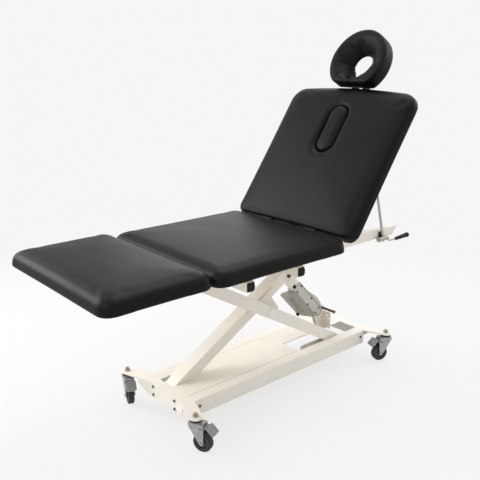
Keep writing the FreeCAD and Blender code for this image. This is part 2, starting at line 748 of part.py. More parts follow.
def leg_end_beam():
    """Folded cross beam with a lug for a castor at each end."""
    z0 = BASE_TOP - BEAM_PLATE
    place = mapper("xy", z0)
    webs = []
    ends = []
    for sign in (-1, 1):
        centre, front, back = lug_tangents(sign)
        outward = (centre[0] - LUG_RADIUS * 0.5, centre[1] + sign * LUG_RADIUS * math.sqrt(0.75))
        ends.append((front, outward, back))
    near, far = ends
    straight = BEAM_STRAIGHT
    corner = BASE_WIDTH / 2 + 2
    pieces = [
        ("line", place(-BEAM_FACE_X, straight), place(-BEAM_FACE_X, -straight)),
        ("line", place(-BEAM_FACE_X, -straight), place(*near[0])),
        ("arc", place(*near[0]), place(*near[1]), place(*near[2])),
        ("line", place(*near[2]), place(-RAIL_END_X, -corner)),
        ("line", place(-RAIL_END_X, -corner), place(-RAIL_END_X, corner)),
        ("line", place(-RAIL_END_X, corner), place(*far[2])),
        ("arc", place(*far[2]), place(*far[1]), place(*far[0])),
        ("line", place(*far[0]), place(-BEAM_FACE_X, straight)),
    ]
    plate = Part.Face(wire_of(pieces)).extrude(V(0, 0, BEAM_PLATE))
    webs.append(box(-BEAM_FACE_X, -BEAM_FACE_X + BEAM_WEB, -straight, straight, BASE_BOTTOM, z0))
    for sign, end in ((-1, near), (1, far)):
        start = (-BEAM_FACE_X, sign * straight)
        share = (LUG_WEB_END - straight) / (abs(end[0][1]) - straight)
        stop = (start[0] + share * (end[0][0] - start[0]), sign * LUG_WEB_END)
        outline = [start, stop, (stop[0] + BEAM_WEB, stop[1]), (start[0] + BEAM_WEB, start[1])]
        web = prism(outline, 0, "xy", BASE_BOTTOM, z0)
        taper = [(sign * WEB_TAPER_START, BASE_BOTTOM - 1), (sign * (LUG_WEB_END + 1), BASE_BOTTOM - 1),
                 (sign * (LUG_WEB_END + 1), BASE_BOTTOM + WEB_TAPER_RISE)]
        webs.append(web.cut(prism(taper, 0, "yz", -BEAM_FACE_X - 80, -BEAM_FACE_X + 80)))
    whole = join([plate] + webs)
    for sign in (-1, 1):
        hole = bar_z(-CASTOR_X, sign * CASTOR_Y, z0 - 1, BASE_TOP + 1, STEM_RADIUS + RUNNING_CLEARANCE)
        whole = whole.cut(hole)
    return whole


def head_end_beam():
    return leg_end_beam().mirror(V(0, 0, 0), V(1, 0, 0))


def arm_foot_cheeks():
    """Two plates behind the leg-end beam that hold the far arm's lower pin."""
    top = BASE_TOP - BEAM_PLATE
    low = FOOT_Z - ARM_END_RADIUS - 6
    half = ARM_WIDTH / 2 + SIDE_CLEARANCE
    web = -BEAM_FACE_X + BEAM_WEB
    points = [(web, top), (FOOT_X + 26, top), (FOOT_X + 26, low + 20), (FOOT_X + 10, low), (web, low)]
    cheeks = []
    for y in (FAR_ARM_Y - half - CHEEK_THICKNESS, FAR_ARM_Y + half):
        cheek = prism(points, [0, 0, 8, 8, 0], "xz", y, y + CHEEK_THICKNESS)
        cheeks.append(cheek.cut(bar_y(FOOT_X, FOOT_Z, y - 1, y + CHEEK_THICKNESS + 1,
                                      PIN_RADIUS + RUNNING_CLEARANCE)))
    return group(cheeks)


def channel(x0, x1, y_mid, floor, rise):
    """U-section track round a roller; its two walls go up by rise, or down where that is negative."""
    half = ARM_WIDTH / 2 + TRACK_CLEARANCE
    outer = half + TRACK_WALL
    back = floor - math.copysign(TRACK_WEB, rise)
    tip = floor + rise
    points = [(-outer, back), (outer, back), (outer, tip), (half, tip), (half, floor), (-half, floor),
              (-half, tip), (-outer, tip)]
    return prism([(y_mid + y, z) for y, z in points], 0, "yz", x0, x1)


def lower_track():
    floor = FOOT_Z - ROLLER_RADIUS - FACE_CLEARANCE
    return channel(SLIDE_X - LOWER_TRACK_RUN, SLIDE_X + LOWER_TRACK_END, NEAR_ARM_Y, floor, LOWER_TRACK_HEIGHT)


def base_spine():
    """Shallow channel that stiffens the deck strip below the actuator."""
    near = SPINE_Y - SPINE_WIDTH / 2
    far = SPINE_Y + SPINE_WIDTH / 2
    top = BASE_TOP - DECK_THICKNESS
    low = top - SPINE_HEIGHT
    points = [(near, low), (near + SPINE_WALL, low), (near + SPINE_WALL, top - SPINE_WALL),
              (far - SPINE_WALL, top - SPINE_WALL), (far - SPINE_WALL, low), (far, low), (far, top), (near, top)]
    return prism(points, 0, "yz", DECK_HEAD_X, RAIL_END_X)


def housing_end():
    """Centre of the housing's round rear end, as a flat place in the part."""
    angle = math.radians(ACTUATOR_ANGLE)
    along = HOUSING_REAR + HOUSING_DEPTH / 2
    return (REAR_PIVOT_X + along * math.cos(angle) - REAR_OFFSET * math.sin(angle),
            REAR_PIVOT_Z + along * math.sin(angle) + REAR_OFFSET * math.cos(angle))


def actuator_bracket():
    """Welded bracket on the deck strip: two cheeks hollowed round the housing's end, and a back wall."""
    seat = BASE_TOP
    pivot = (REAR_PIVOT_X, REAR_PIVOT_Z)
    end = housing_end()
    ear = BRACKET_EAR
    hollow = math.dist(pivot, end) - ear
    facing = math.degrees(math.atan2(pivot[1] - end[1], pivot[0] - end[0]))
    wall = REAR_PIVOT_X + BRACKET_SET_BACK
    back = wall + CHEEK_THICKNESS
    front = (REAR_PIVOT_X - BRACKET_FOOT, seat)
    tip = polar(end, hollow, facing - 124)
    bottom = polar(end, hollow, facing - 62)
    meet = polar(end, hollow, facing)
    crest = polar(pivot, ear, 100)
    side = polar(pivot, ear, 0)
    inner = REAR_EYE_WIDTH / 2 + SIDE_CLEARANCE
    outer = inner + CHEEK_THICKNESS
    pieces = []
    for y in (FAR_ARM_Y - outer, FAR_ARM_Y + inner):
        place = mapper("xz", y)
        outline = wire_of([
            ("line", place(*front), place(*tip)),
            ("arc", place(*tip), place(*bottom), place(*meet)),
            ("arc", place(*meet), place(*crest), place(*side)),
            ("line", place(*side), place(back, seat + BRACKET_HEIGHT)),
            ("line", place(back, seat + BRACKET_HEIGHT), place(back, seat)),
            ("line", place(back, seat), place(*front)),
        ])
        pieces.append(Part.Face(outline).extrude(V(0, CHEEK_THICKNESS, 0)))
    pieces.append(box(wall, back, BRACKET_NEAR_Y, FAR_ARM_Y + outer, seat, seat + BRACKET_HEIGHT))
    pieces.append(box(front[0], back, FAR_ARM_Y - outer, FAR_ARM_Y + outer, seat, seat + CHEEK_THICKNESS))
    whole = join(pieces)
    holes = [bar_y(pivot[0], pivot[1], FAR_ARM_Y - outer - 1, FAR_ARM_Y + outer + 1,
                   REAR_PIN_RADIUS + RUNNING_CLEARANCE)]
    for y, rise in BRACKET_HOLES:
        holes.append(bar(V(wall - 1, y, seat + rise), V(back + 1, y, seat + rise), BRACKET_HOLE))
    return whole.cut(Part.makeCompound(holes))


def headed_pin(x, z, y0, y1, radius, head):
    """Pin along y with a head beyond each end."""
    ends = [bar_y(x, z, y0 - head, y0, radius * 1.4), bar_y(x, z, y1, y1 + head, radius * 1.4)]
    return join([bar_y(x, z, y0, y1, radius)] + ends)


def base_pivot_pins():
    """The far arm's lower pin and the actuator's long rear pin with its grip."""
    foot = ARM_WIDTH / 2 + SIDE_CLEARANCE + CHEEK_THICKNESS
    far = FAR_ARM_Y + REAR_EYE_WIDTH / 2 + SIDE_CLEARANCE + CHEEK_THICKNESS
    head = REAR_PIN_RADIUS / 2
    rear = [bar_y(REAR_PIVOT_X, REAR_PIVOT_Z, REAR_PIN_NEAR_Y, far, REAR_PIN_RADIUS),
            bar_y(REAR_PIVOT_X, REAR_PIVOT_Z, far, far + head, REAR_PIN_RADIUS + head),
            bar_y(REAR_PIVOT_X, REAR_PIVOT_Z, REAR_PIN_NEAR_Y, REAR_PIN_NEAR_Y + 2 * head, REAR_PIN_RADIUS + head / 2)]
    return group([
        headed_pin(FOOT_X, FOOT_Z, FAR_ARM_Y - foot, FAR_ARM_Y + foot, PIN_RADIUS, 3.0),
        join(rear),
    ])


def hexagon(radius):
    return [(radius * math.cos(math.radians(60 * k)), radius * math.sin(math.radians(60 * k))) for k in range(6)]


CASTOR_SPOTS = {
    "leg_far": (-CASTOR_X, CASTOR_Y),
    "leg_near": (-CASTOR_X, -CASTOR_Y),
    "head_near": (CASTOR_X, -CASTOR_Y),
    "head_far": (CASTOR_X, CASTOR_Y),
}
LUG_UNDER = BASE_TOP - BEAM_PLATE
CROWN_TOP = LUG_UNDER - RACE_HEIGHT - FACE_CLEARANCE
CROWN_UNDER = CROWN_TOP - CROWN_HEIGHT


def castor_stems():
    """Fixed half of each castor: upper race, stem and nut."""
    stems = []
    for x, y in CASTOR_SPOTS.values():
        race = bar_z(x, y, LUG_UNDER - RACE_HEIGHT, LUG_UNDER, RACE_RADIUS)
        stem = bar_z(x, y, LUG_UNDER, BASE_TOP + 15, STEM_RADIUS)
        nut = prism([(x + a, y + b) for a, b in hexagon(STEM_RADIUS * 1.9)], 0, "xy", BASE_TOP, BASE_TOP + 9)
        kingpin = bar_z(x, y, CROWN_UNDER - 1, LUG_UNDER, KINGPIN_RADIUS)
        head = bar_z(x, y, CROWN_UNDER - 4, CROWN_UNDER - FACE_CLEARANCE, KINGPIN_RADIUS * 1.8)
        stems.append(join([race, stem, nut, kingpin, head]))
    return group(stems)


def at_castor(shape, corner):
    x, y = CASTOR_SPOTS[corner]
    return shape.rotated(V(0, 0, 0), V(0, 0, 1), CASTOR_HEADINGS[corner]).translated(V(x, y, 0))


def castor_fork(corner):
    """Swivelling crown with two cheeks that run down to the axle, and the axle bolt."""
    axle = (CASTOR_TRAIL, WHEEL_RADIUS)
    heel = (CASTOR_TRAIL + FORK_EYE, WHEEL_RADIUS)
    knee = (-FORK_LEAD, CROWN_UNDER - FORK_LEAD_DROP)
    lead = tangent_point(knee, axle, FORK_EYE, 1)
    bottom = polar(axle, FORK_EYE, -80)
    top = CROWN_TOP - FORK_WALL
    cheeks = []
    for y in (-FORK_GAP / 2 - FORK_WALL, FORK_GAP / 2):
        place = mapper("xz", y)
        outline = wire_of([
            ("line", place(-FORK_LEAD, top), place(heel[0], top)),
            ("line", place(heel[0], top), place(*heel)),
            ("arc", place(*heel), place(*bottom), place(*lead)),
            ("line", place(*lead), place(*knee)),
            ("line", place(*knee), place(-FORK_LEAD, top)),
        ])
        cheeks.append(Part.Face(outline).extrude(V(0, FORK_WALL, 0)))
    width = FORK_GAP / 2 + FORK_WALL
    crown = bar_z(0, 0, CROWN_UNDER, CROWN_TOP, CROWN_RADIUS)
    saddle = prism(rectangle(-FORK_LEAD, heel[0], -width, width), FORK_WALL, "xy", top - FORK_WALL, top)
    fork = join([crown, saddle] + cheeks)
    fork = fork.cut(bar_z(0, 0, CROWN_UNDER - 1, CROWN_TOP + 1, KINGPIN_RADIUS + RUNNING_CLEARANCE))
    fork = fork.cut(bar_y(axle[0], axle[1], -width - 1, width + 1, AXLE_RADIUS + RUNNING_CLEARANCE))
    pivot = pedal_pivot()
    fork = fork.cut(bar_y(pivot[0], pivot[1], -width - 1, width + 1, AXLE_RADIUS + RUNNING_CLEARANCE))
    bolt = headed_pin(axle[0], axle[1], -width, width, AXLE_RADIUS, 3.5)
    return at_castor(group([fork, bolt]), corner)


def castor_wheel(corner):
    """Soft tyre on a dished hub, turned about the axle."""
    half = WHEEL_WIDTH / 2
    rim = WHEEL_RADIUS - TYRE_DEPTH
    place = mapper("yz", CASTOR_TRAIL)
    shoulder = half * 0.62
    tyre = wire_of([
        ("line", place(-half, rim), place(half, rim)),
        ("line", place(half, rim), place(half, WHEEL_RADIUS - 5)),
        ("arc", place(half, WHEEL_RADIUS - 5), place(half * 0.88, WHEEL_RADIUS - 1.4), place(shoulder, WHEEL_RADIUS)),
        ("line", place(shoulder, WHEEL_RADIUS), place(-shoulder, WHEEL_RADIUS)),
        ("arc", place(-shoulder, WHEEL_RADIUS), place(-half * 0.88, WHEEL_RADIUS - 1.4),
         place(-half, WHEEL_RADIUS - 5)),
        ("line", place(-half, WHEEL_RADIUS - 5), place(-half, rim)),
    ])
    bore = AXLE_RADIUS + RUNNING_CLEARANCE
    boss = FORK_GAP / 2 - 0.8
    hub_points = [(-boss, bore), (boss, bore), (boss, bore + 6), (half * 0.45, bore + 7), (half * 0.45, rim - 5),
                  (half, rim - 3), (half, rim), (-half, rim), (-half, rim - 3), (-half * 0.45, rim - 5),
                  (-half * 0.45, bore + 7), (-boss, bore + 6)]
    hub = rounded_wire(hub_points, [0] * len(hub_points), place)
    solids = []
    for outline in (tyre, hub):
        turned = Part.Face(outline).revolve(V(CASTOR_TRAIL, 0, 0), V(0, 1, 0), 360)
        solids.append(turned.translated(V(0, 0, WHEEL_RADIUS)))
    return at_castor(group(solids), corner)


def pedal_pivot():
    return (CASTOR_TRAIL - 2, CROWN_UNDER - PEDAL_PIVOT_DROP)


def pedal_pad():
    """Ribbed tread along x from its upper edge, top face at z = 0."""
    half = PAD_WIDTH / 2
    pad = prism(rectangle(0, PAD_LENGTH, -half, half), PAD_CORNER, "xy", -PAD_THICKNESS, 0)
    margin = (PAD_LENGTH - PAD_GROOVE_PITCH * (PAD_GROOVES - 1) - PAD_GROOVE_WIDTH) / 2
    grooves = []
    for index in range(PAD_GROOVES):
        x = margin + index * PAD_GROOVE_PITCH
        grooves.append(box(x, x + PAD_GROOVE_WIDTH, -half - 1, half + 1, -PAD_GROOVE_DEPTH, 1))
    return pad.cut(Part.makeCompound(grooves))


def castor_pedal(corner):
    """Brake pedal: a stem on a cross pin through the fork, and a sloping tread."""
    x, z = pedal_pivot()
    half = PEDAL_STEM_WIDTH / 2
    hub = AXLE_RADIUS * 1.9
    top = (x + PAD_START, z + PAD_RISE)
    stem = prism([(x, z + hub), (top[0], top[1] - PAD_CORNER / 2), (top[0], top[1] - PEDAL_STEM_HEIGHT - PAD_CORNER / 2),
                  (x, z - hub)], 0, "xz", -half, half)
    tread = pedal_pad().rotated(V(0, 0, 0), TILT_AXIS, -PAD_SLOPE).translated(V(top[0], 0, top[1]))
    width = FORK_GAP / 2 + FORK_WALL
    pin = headed_pin(x, z, -width - FACE_CLEARANCE, width + FACE_CLEARANCE, AXLE_RADIUS, 2.0)
    return at_castor(join([stem, bar_y(x, z, -half, half, hub), pin, tread]), corner)


def base_bolts():
    """Screw heads on the outer faces of the end beams and the rails."""
    heads = []
    for end in (-1, 1):
        face = end * BEAM_FACE_X
        for y in (-BEAM_STRAIGHT + 12, BEAM_STRAIGHT - 12):
            for z in (BASE_TOP - 16, BASE_BOTTOM + 14):
                heads.append(bar(V(face, y, z), V(face + end * 4, y, z), 5.5))
        for side in (-1, 1):
            x = end * (RAIL_END_X - 24)
            y = side * BASE_WIDTH / 2
            z = BASE_TOP - 27
            heads.append(bar(V(x, y, z), V(x, y + side * 4, z), 5.5))
    return group(heads)


# Scissor lift

def arm_outline(inset, start, stop):
    """Side view of an arm: full depth between two tapered, rounded ends."""
    half = ARM_DEPTH / 2 - inset
    return [(start, half - 6), (ARM_TAPER, half), (ARM_LENGTH - ARM_TAPER, half), (stop, half - 6),
            (stop, 6 - half), (ARM_LENGTH - ARM_TAPER, -half), (ARM_TAPER, -half), (start, 6 - half)]


def arm_blank():
    """Box-tube arm along x: pivot end at 0, roller fork at ARM_LENGTH."""
    half = ARM_WIDTH / 2
    inner = half - ARM_WALL
    place = mapper("xz", -half)
    first = (0.0, 0.0)
    last = (ARM_LENGTH, 0.0)
    edge = ARM_DEPTH / 2
    a = tangent_point((ARM_TAPER, edge), first, ARM_END_RADIUS, 1)
    b = tangent_point((ARM_TAPER, -edge), first, ARM_END_RADIUS, -1)
    c = tangent_point((ARM_LENGTH - ARM_TAPER, -edge), last, ARM_END_RADIUS, 1)
    d = tangent_point((ARM_LENGTH - ARM_TAPER, edge), last, ARM_END_RADIUS, -1)
    outline = wire_of([
        ("line", place(ARM_TAPER, edge), place(*a)),
        ("arc", place(*a), place(-ARM_END_RADIUS, 0), place(*b)),
        ("line", place(*b), place(ARM_TAPER, -edge)),
        ("line", place(ARM_TAPER, -edge), place(ARM_LENGTH - ARM_TAPER, -edge)),
        ("line", place(ARM_LENGTH - ARM_TAPER, -edge), place(*c)),
        ("arc", place(*c), place(ARM_LENGTH + ARM_END_RADIUS, 0), place(*d)),
        ("line", place(*d), place(ARM_LENGTH - ARM_TAPER, edge)),
        ("line", place(ARM_LENGTH - ARM_TAPER, edge), place(ARM_TAPER, edge)),
    ])
    solid = Part.Face(outline).extrude(V(0, ARM_WIDTH, 0))
    hollow = prism(arm_outline(ARM_WALL, PIN_RADIUS + 16, ARM_LENGTH - ARM_TAPER / 2), 0, "xz", -inner, inner)
    fork = box(ARM_LENGTH - ROLLER_RADIUS - 10, ARM_LENGTH + ARM_DEPTH, -inner, inner, -ARM_DEPTH, ARM_DEPTH)
    sleeve = bar_y(ARM_HALF, 0, -half, half, CROSS_SLEEVE_RADIUS)
    whole = join([solid.cut(hollow), sleeve]).cut(fork)
    whole = whole.cut(bar_y(0, 0, -half - 1, half + 1, PIN_RADIUS + RUNNING_CLEARANCE))
    return whole.cut(bar_y(ARM_LENGTH, 0, -half - 1, half + 1, ROLLER_AXLE_RADIUS + RUNNING_CLEARANCE))


def on_far_arm(shape):
    raised = shape.rotated(V(0, 0, 0), TILT_AXIS, ARM_ANGLE)
    return raised.translated(V(FOOT_X, FAR_ARM_Y, FOOT_Z))


def on_near_arm(shape):
    lowered = shape.rotated(V(0, 0, 0), TILT_AXIS, -ARM_ANGLE)
    return lowered.translated(V(FOOT_X, NEAR_ARM_Y, TOP_PIVOT_Z))


def arm_spacing():
    """Free width between the two arms."""
    return FAR_ARM_Y - NEAR_ARM_Y - ARM_WIDTH


def far_arm():
    half = ARM_WIDTH / 2
    arm = arm_blank()
    along = YOKE_PIVOT_ALONG
    corners = [(ARM_HALF + along, across) for along, across in GUSSET_POINTS]
    plate = prism(corners, GUSSET_RADII, "xz", -half - CHEEK_THICKNESS, -half)
    boss_half = YOKE_WIDTH / 2 + 0.5
    bosses = [bar_y(along, -YOKE_PIVOT_DROP, -half - 3, -boss_half, EYE_RADIUS),
              bar_y(along, -YOKE_PIVOT_DROP, boss_half, half + 3, EYE_RADIUS)]
    arm = join([arm, plate] + bosses)
    slot = box(along - 36, along + 42, -boss_half, boss_half, -ARM_DEPTH, -ARM_DEPTH / 2 + ARM_WALL + 0.5)
    arm = arm.cut(slot)
    arm = arm.cut(bar_y(along, -YOKE_PIVOT_DROP, -half - 4, half + 4, ACTUATOR_PIN_RADIUS + RUNNING_CLEARANCE))
    shaft = bar_y(ARM_HALF, 0, -half - CHEEK_THICKNESS - 1, half + 1, CROSS_SHAFT_RADIUS + RUNNING_CLEARANCE)
    return on_far_arm(arm.cut(shaft))


def near_arm():
    half = ARM_WIDTH / 2
    arm = arm_blank()
    shaft = bar_y(ARM_HALF, 0, -half - 1, half + 1, CROSS_SHAFT_RADIUS + RUNNING_CLEARANCE)
    return on_near_arm(arm.cut(shaft))


def far_arm_pins():
    """Cross shaft with its spacer, the actuator's upper pin and the roller axle."""
    half = ARM_WIDTH / 2
    near_face = -half - arm_spacing() - ARM_WIDTH
    shaft = bar_y(ARM_HALF, 0, near_face - 4, half + 4, CROSS_SHAFT_RADIUS)
    nose = bar_y(ARM_HALF, 0, near_face - 4, near_face - FACE_CLEARANCE, CROSS_SHAFT_RADIUS * 1.4)
    tail = bar_y(ARM_HALF, 0, half, half + 4, CROSS_SHAFT_RADIUS * 1.4)
    collar = bar_y(ARM_HALF, 0, -half - arm_spacing() + FACE_CLEARANCE, -half - CHEEK_THICKNESS,
                   CROSS_SLEEVE_RADIUS)
    upper = headed_pin(YOKE_PIVOT_ALONG, -YOKE_PIVOT_DROP, -half - 3, half + 3, ACTUATOR_PIN_RADIUS, 3.0)
    axle = headed_pin(ARM_LENGTH, 0, -half, half, ROLLER_AXLE_RADIUS, TRACK_CLEARANCE / 2)
    return on_far_arm(group([join([shaft, nose, tail, collar]), upper, axle]))


def lower_roller_axle():
    half = ARM_WIDTH / 2
    return on_near_arm(headed_pin(ARM_LENGTH, 0, -half, half, ROLLER_AXLE_RADIUS, TRACK_CLEARANCE / 2))


def roller():
    """Turned roller with a flanked tread, about the y axis."""
    half = ROLLER_WIDTH / 2
    bore = ROLLER_AXLE_RADIUS + RUNNING_CLEARANCE
    place = mapper("yz", 0)
    points = [(-half, bore), (half, bore), (half, bore + 6), (half - 3, bore + 7), (half - 3, ROLLER_RADIUS - 1.5),
              (half - 4.5, ROLLER_RADIUS), (4.5 - half, ROLLER_RADIUS), (3 - half, ROLLER_RADIUS - 1.5),
              (3 - half, bore + 7), (-half, bore + 6)]
    outline = rounded_wire(points, [0] * len(points), place)
    return Part.Face(outline).revolve(V(0, 0, 0), V(0, 1, 0), 360)


def upper_roller():
    return roller().translated(V(SLIDE_X, FAR_ARM_Y, TOP_PIVOT_Z))


def lower_roller():
    return roller().translated(V(SLIDE_X, NEAR_ARM_Y, FOOT_Z))


# Lift actuator, drawn along its spindle; x = 0 lies beside the rear pivot

def on_actuator(shape):
    placed = shape.translated(V(0, 0, REAR_OFFSET)).rotated(V(0, 0, 0), TILT_AXIS, ACTUATOR_ANGLE)
    return placed.translated(V(REAR_PIVOT_X, FAR_ARM_Y, REAR_PIVOT_Z))


def actuator_housing():
    """Die-cast spindle housing: a round-ended box with a gear bulge and a rear eye."""
    deep = HOUSING_DEPTH / 2
    wide = HOUSING_WIDTH / 2
    middle = HOUSING_REAR + deep
    place = mapper("xz", -wide)
    slant = deep * math.sqrt(0.5)
    outline = wire_of([
        ("line", place(middle, -deep), place(HOUSING_FRONT, -deep)),
        ("line", place(HOUSING_FRONT, -deep), place(HOUSING_FRONT, deep)),
        ("line", place(HOUSING_FRONT, deep), place(middle, deep)),
        ("arc", place(middle, deep), place(middle - slant, slant), place(HOUSING_REAR, 0)),
        ("arc", place(HOUSING_REAR, 0), place(middle - slant, -slant), place(middle, -deep)),
    ])
    body = Part.Face(outline).extrude(V(0, HOUSING_WIDTH, 0))
    rim = -deep - BULGE_HEIGHT
    bulge = prism([(middle - slant, -slant), (BULGE_START, rim + BULGE_HEIGHT / 4), (BULGE_TOP, rim), (BULGE_END, -deep),
                   (BULGE_END, 0), (middle, 0)], [0, 8, 20, 0, 0, 0], "xz", -BULGE_WIDTH / 2, BULGE_WIDTH / 2)
    half = REAR_EYE_WIDTH / 2
    lug = prism([(0, -REAR_OFFSET - REAR_EYE_RADIUS), (BULGE_START, rim + BULGE_HEIGHT / 2), (BULGE_START, -slant),
                 (0, -REAR_OFFSET + REAR_EYE_RADIUS)], 0, "xz", -half, half)
    whole = join([body, bulge, lug, bar_y(0, -REAR_OFFSET, -half, half, REAR_EYE_RADIUS)])
    inner_deep = ROD_RADIUS + ROD_FLOAT
    hollow = prism(rectangle(ROD_TAIL - ROD_FLOAT, HOUSING_FRONT + 1, -inner_deep, inner_deep), [2, 0, 0, 2], "xz",
                   HOUSING_WALL - wide, wide - HOUSING_WALL)
    whole = whole.cut(hollow)
    return on_actuator(whole.cut(bar_y(0, -REAR_OFFSET, -half - 1, half + 1, REAR_PIN_RADIUS + RUNNING_CLEARANCE)))


def actuator_motor():
    """Gear motor in a ribbed casing along the housing, slanted at the front and tapered at the rear."""
    deep = HOUSING_DEPTH / 2
    face = deep + MOTOR_DEPTH
    half = MOTOR_WIDTH / 2
    outline = [(MOTOR_REAR, deep), (MOTOR_REAR, deep + MOTOR_DEPTH / 4), (MOTOR_HEEL, face),
               (MOTOR_FRONT, face), (MOTOR_FRONT, face - MOTOR_DEPTH / 4), (MOTOR_FRONT - MOTOR_SLANT, deep)]
    casing = prism(outline, [0, 6, 10, 4, 4, 0], "xz", -half, half)
    grooves = []
    for rib in range(MOTOR_RIBS):
        x = MOTOR_RIB_START + rib * MOTOR_RIB_PITCH
        grooves.append(box(x, x + MOTOR_RIB_WIDTH, -half - 1, half + 1, face - MOTOR_RIB_DEPTH, face + 1))
        grooves.append(box(x, x + MOTOR_RIB_WIDTH, -half - 1, MOTOR_RIB_DEPTH / 2 - half, deep + MOTOR_DEPTH / 2, face + 1))
    return on_actuator(casing.cut(Part.makeCompound(grooves)))


def actuator_rod():
    return on_actuator(bar(V(ROD_TAIL, 0, 0), V(ACTUATOR_LENGTH - YOKE_LENGTH, 0, 0), ROD_RADIUS))


def actuator_yoke():
    """End piece on the rod: a block with a strap and a wing, narrowing to the eye inside the far arm."""
    wide = YOKE_WIDTH / 2
    deep = YOKE_DEPTH / 2
    eye = (ACTUATOR_LENGTH, 0.0)
    start = ACTUATOR_LENGTH - YOKE_LENGTH
    shoulder = ACTUATOR_LENGTH - YOKE_SHOULDER
    place = mapper("xz", -wide)
    upper = tangent_point((shoulder, deep), eye, EYE_RADIUS, -1)
    lower = tangent_point((shoulder, -deep), eye, EYE_RADIUS, 1)
    outline = wire_of([
        ("line", place(start, -deep), place(shoulder, -deep)),
        ("line", place(shoulder, -deep), place(*lower)),
        ("arc", place(*lower), place(eye[0] + EYE_RADIUS, 0), place(*upper)),
        ("line", place(*upper), place(shoulder, deep)),
        ("line", place(shoulder, deep), place(start, deep)),
        ("line", place(start, deep), place(start, -deep)),
    ])
    solid = Part.Face(outline).extrude(V(0, YOKE_WIDTH, 0))
    hollow = prism(rectangle(start + 2 * YOKE_WALL, shoulder, YOKE_WALL - deep, deep - YOKE_WALL), YOKE_WALL - 1, "xz",
                   YOKE_WALL - wide, wide + 1)
    strap_half = YOKE_STRAP_WIDTH / 2
    strap_end = ACTUATOR_LENGTH - YOKE_STRAP_TOP
    strap = prism(rectangle(start, strap_end, deep - YOKE_STRAP_WIDTH, deep), [0, 0, 0, strap_half], "xz",
                  -wide - YOKE_STRAP_RAISE, -wide)
    flank = YOKE_WING_THICKNESS / 2
    wing = prism([(start, -deep), (start + YOKE_WING, -deep - YOKE_WING), (shoulder - YOKE_WING / 2, -deep - YOKE_WING),
                  (shoulder, -deep), (shoulder, YOKE_WALL - deep), (start, YOKE_WALL - deep)],
                 [0, 8, 8, 0, 0, 0], "xz", -flank, flank)
    whole = join([solid.cut(hollow), strap, wing])
    spot = (shoulder - YOKE_WING, -deep - YOKE_WING / 2)
    whole = whole.cut(bar_y(spot[0], spot[1], -wide, wide, YOKE_WING_HOLE))
    return on_actuator(whole.cut(bar_y(eye[0], 0, -wide - 1, wide + 1, ACTUATOR_PIN_RADIUS + RUNNING_CLEARANCE)))


# Platform

def platform_rails():
    rails = []
    for side in (-1, 1):
        y0 = min(side * PLATFORM_WIDTH / 2, side * PLATFORM_INNER_Y)
        rail = tube_along("yz", y0, y0 + PLATFORM_RAIL_WIDTH, PLATFORM_BOTTOM, PLATFORM_TOP,
                          SEAT_FOOT_X, PLATFORM_HEAD_X, CROSS_TUBE_WALL, TUBE_CORNER)
        wedge = [(PLATFORM_HEAD_X, PLATFORM_TOP), (PLATFORM_HEAD_X + 5, PLATFORM_TOP),
                 (PLATFORM_HEAD_X + 5, PLATFORM_BOTTOM - 1), (PLATFORM_HEAD_X - PLATFORM_MITRE, PLATFORM_BOTTOM - 1)]
        rails.append(rail.cut(prism(wedge, 0, "xz", y0 - 1, y0 + PLATFORM_RAIL_WIDTH + 1)))
    return group(rails)


def cross_tubes():
    """Square tubes under and between the platform rails."""
    half = CROSS_TUBE / 2
    span = CROSS_TUBE_SPAN / 2
    inner = PLATFORM_INNER_Y
    tubes = []
    for x in CROSS_TUBE_CENTRES:
        tubes.append(tube_along("xz", x - half, x + half, PLATFORM_BOTTOM - CROSS_TUBE, PLATFORM_BOTTOM,
                                -span, span, CROSS_TUBE_WALL, TUBE_CORNER))
    top = CROSS_TUBE_TOP
    for x in (HINGE_BEAM_X - half, HEAD_TUBE_X):
        tubes.append(tube_along("xz", x - half, x + half, top - CROSS_TUBE, top,
                                -inner, inner, CROSS_TUBE_WALL, TUBE_CORNER))
    return group(tubes)


def tube_end_caps():
    """Plugs in the open ends of the two long cross tubes."""
    half = CROSS_TUBE / 2
    span = CROSS_TUBE_SPAN / 2
    stub = half - CROSS_TUBE_WALL - FACE_CLEARANCE
    middle = PLATFORM_BOTTOM - half
    caps = []
    for x in CROSS_TUBE_CENTRES:
        for side in (-1, 1):
            low, high = sorted((side * span, side * (span + END_CAP_THICKNESS)))
            edge = half - END_CAP_MARGIN
            plate = prism(rectangle(x - edge, x + edge, middle - edge, middle + edge), END_CAP_CORNER, "xz", low, high)
            low, high = sorted((side * span, side * (span - END_CAP_STUB)))
            plug = prism(rectangle(x - stub, x + stub, middle - stub, middle + stub), 1.5, "xz", low, high)
            caps.append(join([plate, plug]))
    return group(caps)


def upper_track():
    floor = TOP_PIVOT_Z + ROLLER_RADIUS + FACE_CLEARANCE
    return channel(HINGE_BEAM_X, HEAD_TUBE_X - CROSS_TUBE / 2, FAR_ARM_Y, floor, -UPPER_TRACK_HEIGHT)


def knuckle_bands(width):
    """Lateral bands of a hinge: one middle knuckle and two outer ones."""
    half = width / 2
    third = width / 4
    middle = [(-third, third)]
    outer = [(-half, -third - KNUCKLE_GAP), (third + KNUCKLE_GAP, half)]
    return middle, outer


